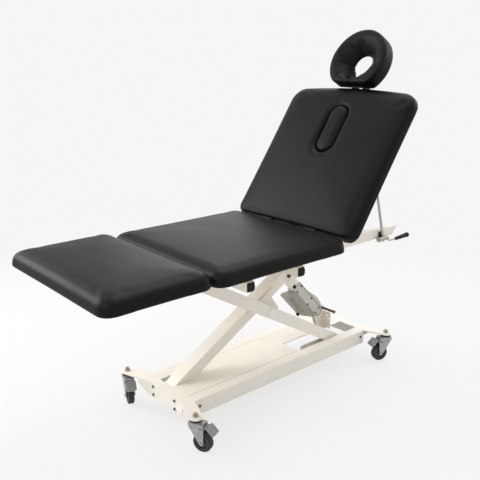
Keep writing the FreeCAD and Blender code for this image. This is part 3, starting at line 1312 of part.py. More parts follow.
def leg_end_plate():
    """Cross plate at the leg end, with hangers for the near arm and hinge knuckles."""
    top = PLATFORM_TOP
    low = top - LEG_PLATE_THICKNESS
    x0 = SEAT_FOOT_X + 4
    x1 = x0 + LEG_PLATE_LENGTH
    inner = PLATFORM_INNER_Y
    plate = prism(rectangle(x0, x1, -inner, inner), 0, "xy", low, top)
    for y in (-HINGE_Y, FAR_ARM_Y, HINGE_Y):
        plate = plate.cut(bar_z((x0 + x1) / 2 + 6, y, low - 1, top + 1, LEG_PLATE_HOLE / 2))
    pieces = [plate]
    half = ARM_WIDTH / 2 + SIDE_CLEARANCE
    hang = [(FOOT_X - 24, low), (FOOT_X + 44, low), (FOOT_X + 20, TOP_PIVOT_Z - 14),
            (FOOT_X, TOP_PIVOT_Z - 24), (FOOT_X - 24, TOP_PIVOT_Z - 14)]
    for y in (NEAR_ARM_Y - half - CHEEK_THICKNESS, NEAR_ARM_Y + half):
        pieces.append(prism(hang, [0, 0, 8, 12, 8], "xz", y, y + CHEEK_THICKNESS))
    middle, outer = knuckle_bands(HINGE_WIDTH)
    x, z = LEG_HINGE
    for y in (-HINGE_Y, HINGE_Y):
        for band in middle:
            pieces.append(bar_y(x, z, y + band[0], y + band[1], LEG_KNUCKLE_RADIUS))
            pieces.append(box(x, x0 + 1, y + band[0], y + band[1], z, top))
    stay = LEG_STAY_FOOT
    for side in (-1, 1):
        y0 = LEG_STAY_Y + side * (LEG_STAY_TUBE_RADIUS + SIDE_CLEARANCE + CHEEK_THICKNESS / 2)
        drop = [(stay[0] - 16, low), (stay[0] + 40, low), (stay[0] + 12, stay[1] - 6), (stay[0], stay[1] - 13),
                (stay[0] - 12, stay[1] - 6)]
        pieces.append(prism(drop, [0, 0, 8, 8, 8], "xz", y0 - CHEEK_THICKNESS / 2, y0 + CHEEK_THICKNESS / 2))
    whole = join(pieces)
    reach = inner
    whole = whole.cut(bar_y(x, z, -reach, reach, HINGE_PIN_RADIUS + RUNNING_CLEARANCE))
    whole = whole.cut(bar_y(FOOT_X, TOP_PIVOT_Z, NEAR_ARM_Y - half - 20, NEAR_ARM_Y + half + 20,
                            PIN_RADIUS + RUNNING_CLEARANCE))
    return whole.cut(bar_y(stay[0], stay[1], LEG_STAY_Y - 40, LEG_STAY_Y + 40,
                           STAY_STUD_RADIUS + RUNNING_CLEARANCE))


def back_hinge_leaves():
    """Seat-side hinge leaves that stand up from the hinge beam."""
    x, z = BACK_HINGE
    x0 = HINGE_BEAM_X
    x1 = x0 + HINGE_LEAF
    low = CROSS_TUBE_TOP - CROSS_TUBE + 6
    middle, outer = knuckle_bands(HINGE_WIDTH)
    half = HINGE_WIDTH / 2
    leaves = []
    for y in (-HINGE_Y, HINGE_Y):
        pieces = [box(x0, x1, y - half, y + half, low, z - KNUCKLE_RADIUS - 3)]
        for band in middle:
            pieces.append(box(x0, x1, y + band[0], y + band[1], low, z))
            pieces.append(bar_y(x, z, y + band[0], y + band[1], KNUCKLE_RADIUS))
        leaf = join(pieces)
        leaves.append(leaf.cut(bar_y(x, z, y - half - 1, y + half + 1, HINGE_PIN_RADIUS + RUNNING_CLEARANCE)))
    return group(leaves)


def platform_pins():
    """Near arm's top pin, hinge pins, the clamp's stud and the leg stay's pin."""
    half = ARM_WIDTH / 2 + SIDE_CLEARANCE + CHEEK_THICKNESS
    pins = [headed_pin(FOOT_X, TOP_PIVOT_Z, NEAR_ARM_Y - half, NEAR_ARM_Y + half, PIN_RADIUS, 3.0)]
    for x, z in (BACK_HINGE, LEG_HINGE):
        for y in (-HINGE_Y, HINGE_Y):
            pins.append(bar_y(x, z, y - HINGE_WIDTH / 2, y + HINGE_WIDTH / 2, HINGE_PIN_RADIUS))
    x, z = STAY_CLAMP
    face = -PLATFORM_WIDTH / 2
    tab = prism([(x - 14, z - 10), (x + 14, z - 10), (x + 14, z + 30), (x - 14, z + 30)], [9, 9, 4, 4],
                "xz", face - 2, face)
    stud = bar_y(x, z, STAY_Y + STAY_ROD_RADIUS + 1.2, face - 2, CLAMP_STUD_RADIUS)
    pins.append(join([tab, stud]))
    reach = LEG_STAY_TUBE_RADIUS + SIDE_CLEARANCE + CHEEK_THICKNESS
    pins.append(headed_pin(LEG_STAY_FOOT[0], LEG_STAY_FOOT[1], LEG_STAY_Y - reach, LEG_STAY_Y + reach,
                           STAY_STUD_RADIUS, 2.0))
    return group(pins)


# Backrest ironwork, drawn flat with the board's back face at z = 0

def back_straps():
    """Straps under the board, turned up at the end into hinge leaves."""
    top = -SOFT_CLEARANCE
    low = top - STRAP_THICKNESS
    hinge_x = -HINGE_OFFSET
    hinge_z = CUSHION_THICKNESS - HINGE_DROP
    leaf_x1 = -FACE_CLEARANCE * 3
    leaf_x0 = leaf_x1 - HINGE_LEAF
    half = HINGE_WIDTH / 2
    middle, outer = knuckle_bands(HINGE_WIDTH)
    straps = []
    for y in (-HINGE_Y, HINGE_Y):
        strap = prism(rectangle(leaf_x0, BACK_STRAP_LENGTH, y - STRAP_WIDTH / 2, y + STRAP_WIDTH / 2),
                      [0, 12, 12, 0], "xy", low, top)
        pieces = [strap, box(leaf_x0, leaf_x1, y - half, y + half, low, hinge_z - KNUCKLE_RADIUS - 3)]
        for band in outer:
            pieces.append(box(leaf_x0, leaf_x1, y + band[0], y + band[1], low, hinge_z))
            pieces.append(bar_y(hinge_x, hinge_z, y + band[0], y + band[1], KNUCKLE_RADIUS))
        whole = join(pieces)
        bore = bar_y(hinge_x, hinge_z, y - half - 1, y + half + 1, HINGE_PIN_RADIUS + RUNNING_CLEARANCE)
        straps.append(on_back(whole.cut(bore)))
    return group(straps)


def stay_bracket():
    """Lug under the board with a stud for the stay's eye; drawn in its raised place."""
    hinge = BACK_HINGE
    flat_eye = polar(hinge, STAY_RADIUS, STAY_CLAMP_ANGLE + STAY_FLAT_SPLIT)
    flat_end = SEAT_HEAD_X + 2 * HINGE_OFFSET
    x = flat_eye[0] - flat_end
    z = flat_eye[1] - SEAT_UNDERSIDE
    half = STAY_BRACKET_WIDTH / 2
    face = -PLATFORM_WIDTH / 2 - 3
    top = -SOFT_CLEARANCE
    flange = prism(rectangle(x - half, x + half, face - 52, face), [10, 10, 0, 0], "xy", top - HINGE_LEAF, top)
    lug = prism([(x - half, top), (x - 9, z - 9), (x + 9, z - 9), (x + half, top)], [0, 8, 8, 0],
                "xz", face - HINGE_LEAF, face)
    stud = bar_y(x, z, STAY_Y - STAY_EYE_WIDTH / 2 - 3, face, STAY_STUD_RADIUS)
    return on_back(join([flange, lug, stud]))


def stay_direction():
    run = V(STAY_CLAMP[0] - STAY_EYE[0], 0, STAY_CLAMP[1] - STAY_EYE[1])
    run.normalize()
    return run


def stay_rod():
    """Steel rod with an eye on the backrest, sliding through the clamp."""
    half = STAY_EYE_WIDTH / 2
    eye = V(STAY_EYE[0], STAY_Y, STAY_EYE[1])
    clamp = V(STAY_CLAMP[0], STAY_Y, STAY_CLAMP[1])
    end = clamp + stay_direction() * STAY_TAIL
    rod = join([bar(eye, end, STAY_ROD_RADIUS),
                bar_y(eye.x, eye.z, STAY_Y - half, STAY_Y + half, STAY_EYE_RADIUS)])
    return rod.cut(bar_y(eye.x, eye.z, STAY_Y - half - 1, STAY_Y + half + 1, STAY_STUD_RADIUS + RUNNING_CLEARANCE))


def stay_clamp():
    """Barrel that grips the stay rod and turns on the platform's stud."""
    x, z = STAY_CLAMP
    barrel = bar(V(x - CLAMP_BACK, STAY_Y, z), V(x + CLAMP_FRONT, STAY_Y, z), CLAMP_RADIUS)
    collar = bar(V(x - CLAMP_BACK, STAY_Y, z), V(x - CLAMP_BACK + 7, STAY_Y, z), CLAMP_RADIUS + 1.5)
    boss_end = -PLATFORM_WIDTH / 2 - 2 - FACE_CLEARANCE
    boss = bar_y(x, z, STAY_Y, boss_end, CLAMP_STUD_RADIUS + 4)
    ears = [box(x + CLAMP_FRONT - 2, x + CLAMP_FRONT + 14, y, y + 3, z - 9, z + 4)
            for y in (STAY_Y - LEVER_RADIUS - 3.6, STAY_Y + LEVER_RADIUS + 0.6)]
    whole = join([barrel, collar, boss] + ears)
    centre = V(x, STAY_Y, z)
    reach = stay_direction() * 40
    whole = whole.cut(bar(centre - reach, centre + reach, STAY_ROD_RADIUS + RUNNING_CLEARANCE * 2))
    whole = whole.cut(bar_y(x, z, STAY_Y + STAY_ROD_RADIUS + 1.1, boss_end + 1, CLAMP_STUD_RADIUS + RUNNING_CLEARANCE))
    pivot = lever_pivot()
    return whole.cut(bar_y(pivot[0], pivot[1], STAY_Y - 20, STAY_Y + 20, 2.5 + RUNNING_CLEARANCE))


def lever_pivot():
    return (STAY_CLAMP[0] + CLAMP_FRONT + 8, STAY_CLAMP[1] - 2.5)


def lever_path():
    x, z = lever_pivot()
    bend = V(x + 20, STAY_Y, z - LEVER_DROP)
    grip = V(STAY_CLAMP[0] + LEVER_LENGTH, STAY_Y, z - LEVER_DROP - 1)
    tip = V(STAY_CLAMP[0] + LEVER_LENGTH + GRIP_LENGTH, STAY_Y, z - LEVER_DROP + 3)
    return V(x, STAY_Y, z), bend, grip, tip


def release_lever():
    """Bent steel lever on a cross pin in the clamp's ears."""
    root, bend, grip, tip = lever_path()
    inside = grip + (tip - grip) * 0.8
    arm = bent_bar([root, bend, grip, inside], 9.0, LEVER_RADIUS)
    hub = bar_y(root.x, root.z, STAY_Y - LEVER_RADIUS, STAY_Y + LEVER_RADIUS, LEVER_RADIUS + 1.2)
    pin = bar_y(root.x, root.z, STAY_Y - LEVER_RADIUS - 4.5, STAY_Y + LEVER_RADIUS + 4.5, 2.5)
    return join([arm, hub, pin])


def lever_grip():
    """Moulded grip with a swelling outline and a rounded end."""
    root, bend, grip, tip = lever_path()
    run = tip - grip
    length = run.Length
    place = mapper("xz", 0)
    bore = LEVER_RADIUS + RUNNING_CLEARANCE
    full = GRIP_RADIUS
    inside = length * 0.8 + 0.5
    outline = wire_of([
        ("line", place(0, bore), place(0, full * 0.72)),
        ("arc", place(0, full * 0.72), place(length * 0.35, full * 0.86), place(length * 0.8, full)),
        ("arc", place(length * 0.8, full), place(length * 0.96, full * 0.82), place(length, full * 0.4)),
        ("line", place(length, full * 0.4), place(length, 0)),
        ("line", place(length, 0), place(inside, 0)),
        ("line", place(inside, 0), place(inside, bore)),
        ("line", place(inside, bore), place(0, bore)),
    ])
    solid = Part.Face(outline).revolve(V(0, 0, 0), V(1, 0, 0), 360)
    rise = math.degrees(math.atan2(run.z, run.x))
    return solid.rotated(V(0, 0, 0), TILT_AXIS, rise).translated(grip)


# Leg section ironwork

def leg_straps():
    """Straps under the leg section with hinge knuckles and a lug for the stay."""
    top = LEG_UNDERSIDE - SOFT_CLEARANCE
    low = top - STRAP_THICKNESS
    x, z = LEG_HINGE
    head = LEG_HEAD_X - 1
    middle, outer = knuckle_bands(HINGE_WIDTH)
    straps = []
    for y in (-HINGE_Y, HINGE_Y):
        pieces = [prism(rectangle(head - LEG_STRAP_LENGTH, head, y - HINGE_WIDTH / 2, y + HINGE_WIDTH / 2),
                        [12, 0, 0, 12], "xy", low, top)]
        for band in outer:
            pieces.append(bar_y(x, z, y + band[0], y + band[1], LEG_KNUCKLE_RADIUS))
            pieces.append(box(x - LEG_KNUCKLE_RADIUS, x - 1, y + band[0], y + band[1], z, top))
        if y > 0:
            pieces += stay_lugs(low)
        whole = join(pieces)
        whole = whole.cut(bar_y(x, z, y - HINGE_WIDTH / 2 - 1, y + HINGE_WIDTH / 2 + 1,
                                HINGE_PIN_RADIUS + RUNNING_CLEARANCE))
        straps.append(whole)
    return group(straps)


def stay_lugs(low):
    """Two ears and a pin under the far strap that hold the leg stay's rod."""
    x, z = LEG_STAY_HEAD
    reach = LEG_STAY_ROD_RADIUS + SIDE_CLEARANCE
    ears = []
    for y0 in (LEG_STAY_Y - reach - CHEEK_THICKNESS, LEG_STAY_Y + reach):
        ears.append(prism([(x - 20, low + 1), (x - 8, z - 8), (x + 8, z - 8), (x + 20, low + 1)], [0, 7, 7, 0],
                          "xz", y0, y0 + CHEEK_THICKNESS))
    ears.append(bar_y(x, z, LEG_STAY_Y - reach - 2, LEG_STAY_Y + reach + 2, STAY_STUD_RADIUS))
    return ears


def leg_stay_run():
    run = V(LEG_STAY_HEAD[0] - LEG_STAY_FOOT[0], 0, LEG_STAY_HEAD[1] - LEG_STAY_FOOT[1])
    run.normalize()
    return run


def leg_stay_tube():
    """Outer tube of the telescoping leg stay, on the platform's bracket."""
    start = V(LEG_STAY_FOOT[0], LEG_STAY_Y, LEG_STAY_FOOT[1])
    end = start + leg_stay_run() * LEG_STAY_TUBE_LENGTH
    half = LEG_STAY_TUBE_RADIUS
    eye = half - 1.5
    tube = join([bar(start, end, half), bar_y(start.x, start.z, LEG_STAY_Y - eye, LEG_STAY_Y + eye, half + 1)])
    bore = LEG_STAY_ROD_RADIUS + LEG_STAY_CLEARANCE
    tube = tube.cut(bar(start + leg_stay_run() * 14, end + leg_stay_run(), bore))
    return tube.cut(bar_y(start.x, start.z, LEG_STAY_Y - 30, LEG_STAY_Y + 30, STAY_STUD_RADIUS + RUNNING_CLEARANCE))


def leg_stay_rod():
    """Inner rod of the leg stay, hung from the leg section."""
    start = V(LEG_STAY_HEAD[0], LEG_STAY_Y, LEG_STAY_HEAD[1])
    end = start - leg_stay_run() * LEG_STAY_ROD_LENGTH
    half = LEG_STAY_ROD_RADIUS
    eye = half - 1.5
    rod = join([bar(start, end, half), bar_y(start.x, start.z, LEG_STAY_Y - eye, LEG_STAY_Y + eye, half + 1)])
    return rod.cut(bar_y(start.x, start.z, LEG_STAY_Y - 30, LEG_STAY_Y + 30, STAY_STUD_RADIUS + RUNNING_CLEARANCE))


def build_nodes():
    nodes = {
        "base_rails": base_rails(),
        "deck_plate": deck_plate(),
        "leg_end_beam": leg_end_beam(),
        "head_end_beam": head_end_beam(),
        "arm_foot_cheeks": arm_foot_cheeks(),
        "lower_track": lower_track(),
        "base_spine": base_spine(),
        "actuator_bracket": actuator_bracket(),
        "base_pivot_pins": base_pivot_pins(),
        "castor_stems": castor_stems(),
        "base_bolts": base_bolts(),
    }
    for corner in CASTOR_SPOTS:
        nodes["castor_fork_" + corner] = castor_fork(corner)
        nodes["castor_wheel_" + corner] = castor_wheel(corner)
        nodes["brake_pedal_" + corner] = castor_pedal(corner)
    nodes.update({
        "far_arm": far_arm(),
        "near_arm": near_arm(),
        "far_arm_pins": far_arm_pins(),
        "lower_roller_axle": lower_roller_axle(),
        "upper_roller": upper_roller(),
        "lower_roller": lower_roller(),
        "actuator_housing": actuator_housing(),
        "actuator_motor": actuator_motor(),
        "actuator_rod": actuator_rod(),
        "actuator_yoke": actuator_yoke(),
        "platform_rails": platform_rails(),
        "cross_tubes": cross_tubes(),
        "tube_end_caps": tube_end_caps(),
        "upper_track": upper_track(),
        "leg_end_plate": leg_end_plate(),
        "back_hinge_leaves": back_hinge_leaves(),
        "platform_pins": platform_pins(),
        "back_straps": back_straps(),
        "stay_bracket": stay_bracket(),
        "face_plug": face_plug(),
        "headrest_sockets": headrest_sockets(),
        "headrest_posts": headrest_posts(),
        "headrest_plate": headrest_plate(),
        "headrest_cushion": headrest_cushion(),
        "stay_rod": stay_rod(),
        "stay_clamp": stay_clamp(),
        "release_lever": release_lever(),
        "lever_grip": lever_grip(),
        "leg_straps": leg_straps(),
        "leg_stay_tube": leg_stay_tube(),
        "leg_stay_rod": leg_stay_rod(),
    })
    nodes["seat_cushion"], nodes["seat_board"] = seat_section()
    nodes["leg_cushion"], nodes["leg_board"] = leg_section()
    nodes["back_cushion"], nodes["back_board"] = back_section()
    return nodes


def middle_x(nodes):
    """Middle of the whole object along x, which becomes the origin."""
    boxes = [shape.optimalBoundingBox(False, False) for shape in nodes.values()]
    return (min(box.XMin for box in boxes) + max(box.XMax for box in boxes)) / 2


os.makedirs("parts", exist_ok=True)
NODES = build_nodes()
SHIFT_X = -middle_x(NODES)
for node_name, node_shape in NODES.items():
    node_shape.translated(V(SHIFT_X, 0, 0)).exportStep("parts/" + node_name + ".step")
print("nodes", len(NODES), "shift", round(SHIFT_X, 3))
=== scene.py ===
import json
import math

import bmesh
import bpy
import numpy as np
from mathutils import Matrix, Vector


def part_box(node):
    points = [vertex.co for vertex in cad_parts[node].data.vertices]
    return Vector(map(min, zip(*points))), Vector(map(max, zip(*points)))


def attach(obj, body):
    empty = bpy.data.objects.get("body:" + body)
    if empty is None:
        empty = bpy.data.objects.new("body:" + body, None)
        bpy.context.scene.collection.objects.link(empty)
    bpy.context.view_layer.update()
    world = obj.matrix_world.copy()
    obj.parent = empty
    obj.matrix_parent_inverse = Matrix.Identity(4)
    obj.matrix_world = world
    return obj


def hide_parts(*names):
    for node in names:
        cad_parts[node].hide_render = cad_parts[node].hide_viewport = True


# %% [markdown]
# # An electric treatment table
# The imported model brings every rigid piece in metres, already in its place: castors, base,
# scissor lift, actuator and platform. This lesson dresses it. The rigid pieces keep their
# shapes and get finishes; the five padded pieces are made again here as soft forms.

# %% Load the frame
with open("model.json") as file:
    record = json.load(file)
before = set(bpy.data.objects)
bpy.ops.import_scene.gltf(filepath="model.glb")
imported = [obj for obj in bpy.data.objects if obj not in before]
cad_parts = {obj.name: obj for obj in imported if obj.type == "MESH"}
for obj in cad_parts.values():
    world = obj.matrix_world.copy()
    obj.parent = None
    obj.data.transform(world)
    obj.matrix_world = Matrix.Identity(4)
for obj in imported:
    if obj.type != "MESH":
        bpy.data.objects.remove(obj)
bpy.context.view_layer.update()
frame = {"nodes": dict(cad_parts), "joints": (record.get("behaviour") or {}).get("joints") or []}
NODES = frame["nodes"]
scene = bpy.context.scene

# %% [markdown]
# ## Camera
# The picture was taken from the leg end's near corner, a little above the seat. A camera
# could be moved about until the picture looks right. Here it was fitted to the straight edges
# of the cushions and the base, so its place, direction and lens are known numbers.

# %% Camera
CAMERA_PLACE = Vector((-1.6555, -1.8945, 1.3863))
CAMERA_YAW = math.radians(49.15)
CAMERA_PITCH = math.radians(-15.99)
CAMERA_LENS = 48.12
SENSOR_WIDTH = 36.0

camera_data = bpy.data.cameras.new("camera")
camera_data.lens = CAMERA_LENS
camera_data.sensor_width = SENSOR_WIDTH
camera = bpy.data.objects.new("camera", camera_data)
looking = Vector((math.cos(CAMERA_YAW) * math.cos(CAMERA_PITCH),
                  math.sin(CAMERA_YAW) * math.cos(CAMERA_PITCH),
                  math.sin(CAMERA_PITCH)))
camera.location = CAMERA_PLACE
camera.rotation_euler = looking.to_track_quat("-Z", "Y").to_euler()
scene.collection.objects.link(camera)
scene.camera = camera
print("camera looks along", [round(c, 3) for c in looking])

# %% [markdown]
# ## Writing shader maths
# A finish is easier to read as arithmetic than as boxes and wires. `Value` wraps one socket
# and lets Python's operators add the Math nodes, also with a plain number on the left.

# %% A socket with operators
class Value:
    def __init__(self, finish, socket):
        self.finish = finish
        self.socket = socket

    def _maths(self, operation, first, second):
        return self.finish.node("ShaderNodeMath", {"operation": operation}, {0: first, 1: second})

    def __add__(self, other):
        return self._maths("ADD", self, other)

    def __radd__(self, other):
        return self._maths("ADD", other, self)

    def __sub__(self, other):
        return self._maths("SUBTRACT", self, other)

    def __rsub__(self, other):
        return self._maths("SUBTRACT", other, self)

    def __mul__(self, other):
        return self._maths("MULTIPLY", self, other)

    def __rmul__(self, other):
        return self._maths("MULTIPLY", other, self)

    def __gt__(self, other):
        return self._maths("GREATER_THAN", self, other)

    def __lt__(self, other):
        return self._maths("LESS_THAN", self, other)

    def out(self, name):
        """Another output of the same node."""
        return Value(self.finish, self.socket.node.outputs[name])


print("Value ready: + - * > < each add a Math node")

# %% [markdown]
# `Finish` starts a material, or the world, and has a single method that adds any node: its
# type, its settings, then its inputs. The few nodes that every finish uses get a short name
# of their own, so that each finish below is only a handful of lines.

# %% A finish in the making
class Finish:
    def __init__(self, name, kind="Material"):
        store = bpy.data.worlds if kind == "World" else bpy.data.materials
        self.owner = store.new(name)
        self.owner.use_nodes = True
        self.tree = self.owner.node_tree
        self.tree.nodes.clear()
        self.output = self.tree.nodes.new("ShaderNodeOutput" + kind)

    def node(self, kind, settings=None, inputs=None, output=0):
        made = self.tree.nodes.new(kind)
        for key, setting in (settings or {}).items():
            setattr(made, key, setting)
        for key, given in (inputs or {}).items():
            if isinstance(given, Value):
                self.tree.links.new(given.socket, made.inputs[key])
            else:
                made.inputs[key].default_value = given
        return Value(self, made.outputs[output])

    def place(self):
        return self.node("ShaderNodeTexCoord", output="Object")

    def stretched(self, scales):
        return self.node("ShaderNodeMapping", None, {"Vector": self.place(), "Scale": scales})

    def noise(self, scale, detail, at=None):
        return self.node("ShaderNodeTexNoise", None,
                         {"Vector": at or self.place(), "Scale": scale, "Detail": detail})

    def vector(self, operation, first, second=None, output=0):
        inputs = {0: first} if second is None else {0: first, 1: second}
        return self.node("ShaderNodeVectorMath", {"operation": operation}, inputs, output)

    def mix(self, factor, first, second):
        pair = [c if isinstance(c, Value) else (*c, 1.0) for c in (first, second)]
        return self.node("ShaderNodeMix", {"data_type": "RGBA"},
                         {0: factor, 6: pair[0], 7: pair[1]}, output=2)

    def bump(self, height, strength, distance):
        return self.node("ShaderNodeBump", None,
                         {"Height": height, "Strength": strength, "Distance": distance})

    def show(self, shader):
        self.tree.links.new(shader.socket, self.output.inputs["Surface"])
        return self.owner

    def surface(self, **inputs):
        named = {key.replace("_", " "): given for key, given in inputs.items()}
        return self.show(self.node("ShaderNodeBsdfPrincipled", None, named))


def shaded(colour, share):
    """A darker shade of a colour."""
    return tuple(c * share for c in colour)


print("Finish ready, for materials and for the world")

# %% [markdown]
# ## The black vinyl
# The cushions are covered in soft black vinyl, stretched over foam. It isn't truly black: a
# fine pebbled grain breaks up its gloss into a broad grey sheen. Modelled pebbles would need
# millions of faces, so Voronoi cells under a bump give them, and a slow noise moves the
# roughness so the sheen isn't even.

# %% Vinyl
VINYL_DARK = (0.0034, 0.0034, 0.0036)
VINYL_WORN = (0.0058, 0.0058, 0.0061)
VINYL_SHEEN = 0.115
PEBBLE_SCALE = 620.0


def vinyl_finish(name):
    f = Finish(name)
    slow = f.noise(scale=5.0, detail=4.0)
    pebbles = f.node("ShaderNodeTexVoronoi", {"feature": "SMOOTH_F1"},
                     {"Vector": f.place(), "Scale": PEBBLE_SCALE})
    creases = f.noise(scale=90.0, detail=6.0)
    height = pebbles * 0.8 + creases * 0.35
    return f.surface(Base_Color=f.mix(slow, VINYL_DARK, VINYL_WORN), Roughness=0.38 + slow * 0.12,
                     Normal=f.bump(height, strength=0.20, distance=0.0006),
                     Specular_IOR_Level=VINYL_SHEEN)


VINYL = vinyl_finish("black_vinyl")
print("vinyl with", len(VINYL.node_tree.nodes), "nodes")

# %% [markdown]
# ## Painted steel
# Base, arms and platform are powder-coated in a warm off-white. A plain colour would look
# like card. Powder melts into a skin with a faint orange peel, so a small noise goes to the
# bump, and a slow one shifts the tint a little.

# %% Powder coat
COAT_LIGHT = (0.85, 0.815, 0.745)
COAT_SHADE = (0.77, 0.735, 0.655)


def powder_coat_finish(name):
    f = Finish(name)
    slow = f.noise(scale=9.0, detail=5.0)
    peel = f.noise(scale=420.0, detail=2.0)
    return f.surface(Base_Color=f.mix(slow * 0.8, COAT_LIGHT, COAT_SHADE),
                     Roughness=0.42 + peel * 0.12,
                     Normal=f.bump(peel, strength=0.12, distance=0.0004))


COAT = powder_coat_finish("cream_powder_coat")
print("paint from", COAT_LIGHT, "to", COAT_SHADE)

# %% [markdown]
# ## Bare metal
# The stay rod is drawn steel, with hair lines along its length, and the base's bolts are the
# same steel blackened. The castor forks are pressed and zinc plated, duller and cloudy. All
# are metals, so only tint, roughness and a small bump tell them apart. The hair lines are a
# noise stretched along the rod, which is cheaper than drawing lines.

# %% Steel and zinc
STEEL_TINT = (0.44, 0.41, 0.37)
BOLT_TINT = (0.14, 0.13, 0.12)
ZINC_LIGHT = (0.50, 0.50, 0.49)
ZINC_DARK = (0.27, 0.27, 0.27)
LINE_SHADE = 0.8


def steel_finish(name, scales, light):
    f = Finish(name)
    lines = f.noise(scale=60.0, detail=4.0, at=f.stretched(scales))
    return f.surface(Base_Color=f.mix(lines, light, shaded(light, LINE_SHADE)), Metallic=1.0,
                     Roughness=0.22 + lines * 0.2,
                     Normal=f.bump(lines, strength=0.08, distance=0.0003))


def zinc_finish(name):
    f = Finish(name)
    cloud = f.noise(scale=55.0, detail=5.0)
    grain = f.noise(scale=900.0, detail=2.0)
    return f.surface(Base_Color=f.mix(cloud, ZINC_LIGHT, ZINC_DARK), Metallic=0.85,
                     Roughness=0.38 + cloud * 0.2,
                     Normal=f.bump(grain, strength=0.1, distance=0.0003))


STEEL = steel_finish("drawn_steel", (8.0, 8.0, 0.4), STEEL_TINT)
DARK_BOLTS = steel_finish("blackened_bolts", (6.0, 6.0, 6.0), BOLT_TINT)
ZINC = zinc_finish("zinc_plate")
print("metals:", STEEL.name, DARK_BOLTS.name, ZINC.name)

# %% [markdown]
# ## Mouldings and castings
# Caps, rollers and grips are moulded in black with a matt spark-eroded skin; brake pedals are
# grey, and the bought-in actuator is painted and cast. One recipe serves them all: two near
# tints, a grain in the roughness and the same grain as a bump.

# %% Moulded plastics
FINE_GRAIN = 700.0
CAST_GRAIN = 300.0
PLAIN_GLOSS = 0.5
MATT_GLOSS = 0.15


def plastic_finish(name, light, dark, rough, grain=FINE_GRAIN, gloss=PLAIN_GLOSS):
    f = Finish(name)
    skin = f.noise(scale=grain, detail=3.0)
    slow = f.noise(scale=30.0, detail=3.0)
    return f.surface(Base_Color=f.mix(slow, light, dark), Roughness=rough + skin * 0.15,
                     Normal=f.bump(skin, strength=0.15, distance=0.0003),
                     Specular_IOR_Level=gloss)


# The same black also covers the hinge leaves, back straps and platform pins, as painted shade of the
# gap between seat and backrest.
BLACK_PLASTIC_AND_SHADE = plastic_finish("black_moulding_and_shade", (0.014, 0.014, 0.015), (0.007, 0.007, 0.007),
                               0.45, gloss=MATT_GLOSS)
GREY_PLASTIC = plastic_finish("grey_pedal", (0.30, 0.305, 0.31), (0.22, 0.225, 0.23), 0.42)
MOTOR_SKIN = plastic_finish("motor_casting", (0.40, 0.38, 0.33), (0.27, 0.255, 0.22),
                            0.48, CAST_GRAIN)
ACTUATOR_SKIN = plastic_finish("actuator_paint", (0.62, 0.60, 0.545), (0.50, 0.48, 0.43),
                               0.45, CAST_GRAIN)
print("mouldings:", BLACK_PLASTIC_AND_SHADE.name, GREY_PLASTIC.name, MOTOR_SKIN.name, ACTUATOR_SKIN.name)

# %% [markdown]
# ## Pins and castor stems
# The arm's pins are one imported piece, but on the real lift one head is painted over and
# another wears a black cap. A castor's stem has a bare nut above, and below one height it is
# painted black as shade, for the shadowed gap between the lug and the fork's crown.
# The pieces could be cut apart; a mask by distance or by height changes the finish instead,
# and the imported mesh stays whole.

# %% Pins and stems
CAP_BLACK = (0.015, 0.015, 0.015)
# Painted shade: the black for the stem where it stands in the shadowed gap under the lug.
GAP_SHADE_BLACK = (0.018, 0.018, 0.019)
NUT_SHADE = 0.75


def pin_finish(name, coated, dark, reach):
    """Steel pins; heads near one place are painted over, heads near another carry a black cap."""
    f = Finish(name)
    lines = f.noise(scale=60.0, detail=4.0, at=f.stretched((8.0, 0.4, 8.0)))
    painted = reach > f.vector("DISTANCE", f.place(), coated, output="Value")
    capped = reach > f.vector("DISTANCE", f.place(), dark, output="Value")
    tint = f.mix(lines, STEEL_TINT, shaded(STEEL_TINT, LINE_SHADE))
    tint = f.mix(painted, tint, COAT_LIGHT)
    tint = f.mix(capped, tint, CAP_BLACK)
    bare = (1.0 - painted) * (1.0 - capped)
    return f.surface(Base_Color=tint, Metallic=bare, Roughness=0.42 - bare * 0.15 + lines * 0.1,
                     Normal=f.bump(lines, strength=0.08, distance=0.0003))


def stem_finish(name, gap_shade_top):
    """Bare nut and kingpin above; black below one height, as painted shade of the gap under the lug.
    """
    f = Finish(name)
    height = f.node("ShaderNodeSeparateXYZ", None, {0: f.place()}, output="Z")
    gap_shade = gap_shade_top > height
    cloud = f.noise(scale=80.0, detail=4.0)
    bright = f.mix(cloud, STEEL_TINT, shaded(STEEL_TINT, NUT_SHADE))
    return f.surface(Base_Color=f.mix(gap_shade, bright, GAP_SHADE_BLACK), Metallic=1.0 - gap_shade,
                     Roughness=0.3 + gap_shade * 0.15 + cloud * 0.1,
                     Normal=f.bump(cloud, strength=0.1, distance=0.0003))


JOINTS = {joint["name"]: joint for joint in frame["joints"]}
# Below this height the stem is painted black as shade.
GAP_SHADE_TOP = 0.1285
PIN_REACH = 0.085
cross_pin = JOINTS["near_arm_turn"]["pos_m"]
yoke_pin = JOINTS["ram_swing"]["pos_m"]
ARM_PINS = pin_finish("arm_pins", cross_pin, yoke_pin, PIN_REACH)
STEMS = stem_finish("castor_stem", GAP_SHADE_TOP)
print("pin heads told apart within", PIN_REACH, "m")

# %% [markdown]
# ## Castor wheels
# A wheel carries a soft dark tyre on a smoother grey hub. One finish does both: it measures
# each point's distance from the axle, and beyond the hub's radius it turns to rubber. Every
# wheel has its own axle, so every wheel gets its own copy.

# %% Wheels
HUB_RADIUS = 0.0265
RUBBER = ((0.010, 0.010, 0.012), (0.022, 0.022, 0.026))
HUB = ((0.050, 0.050, 0.062), (0.030, 0.030, 0.040))


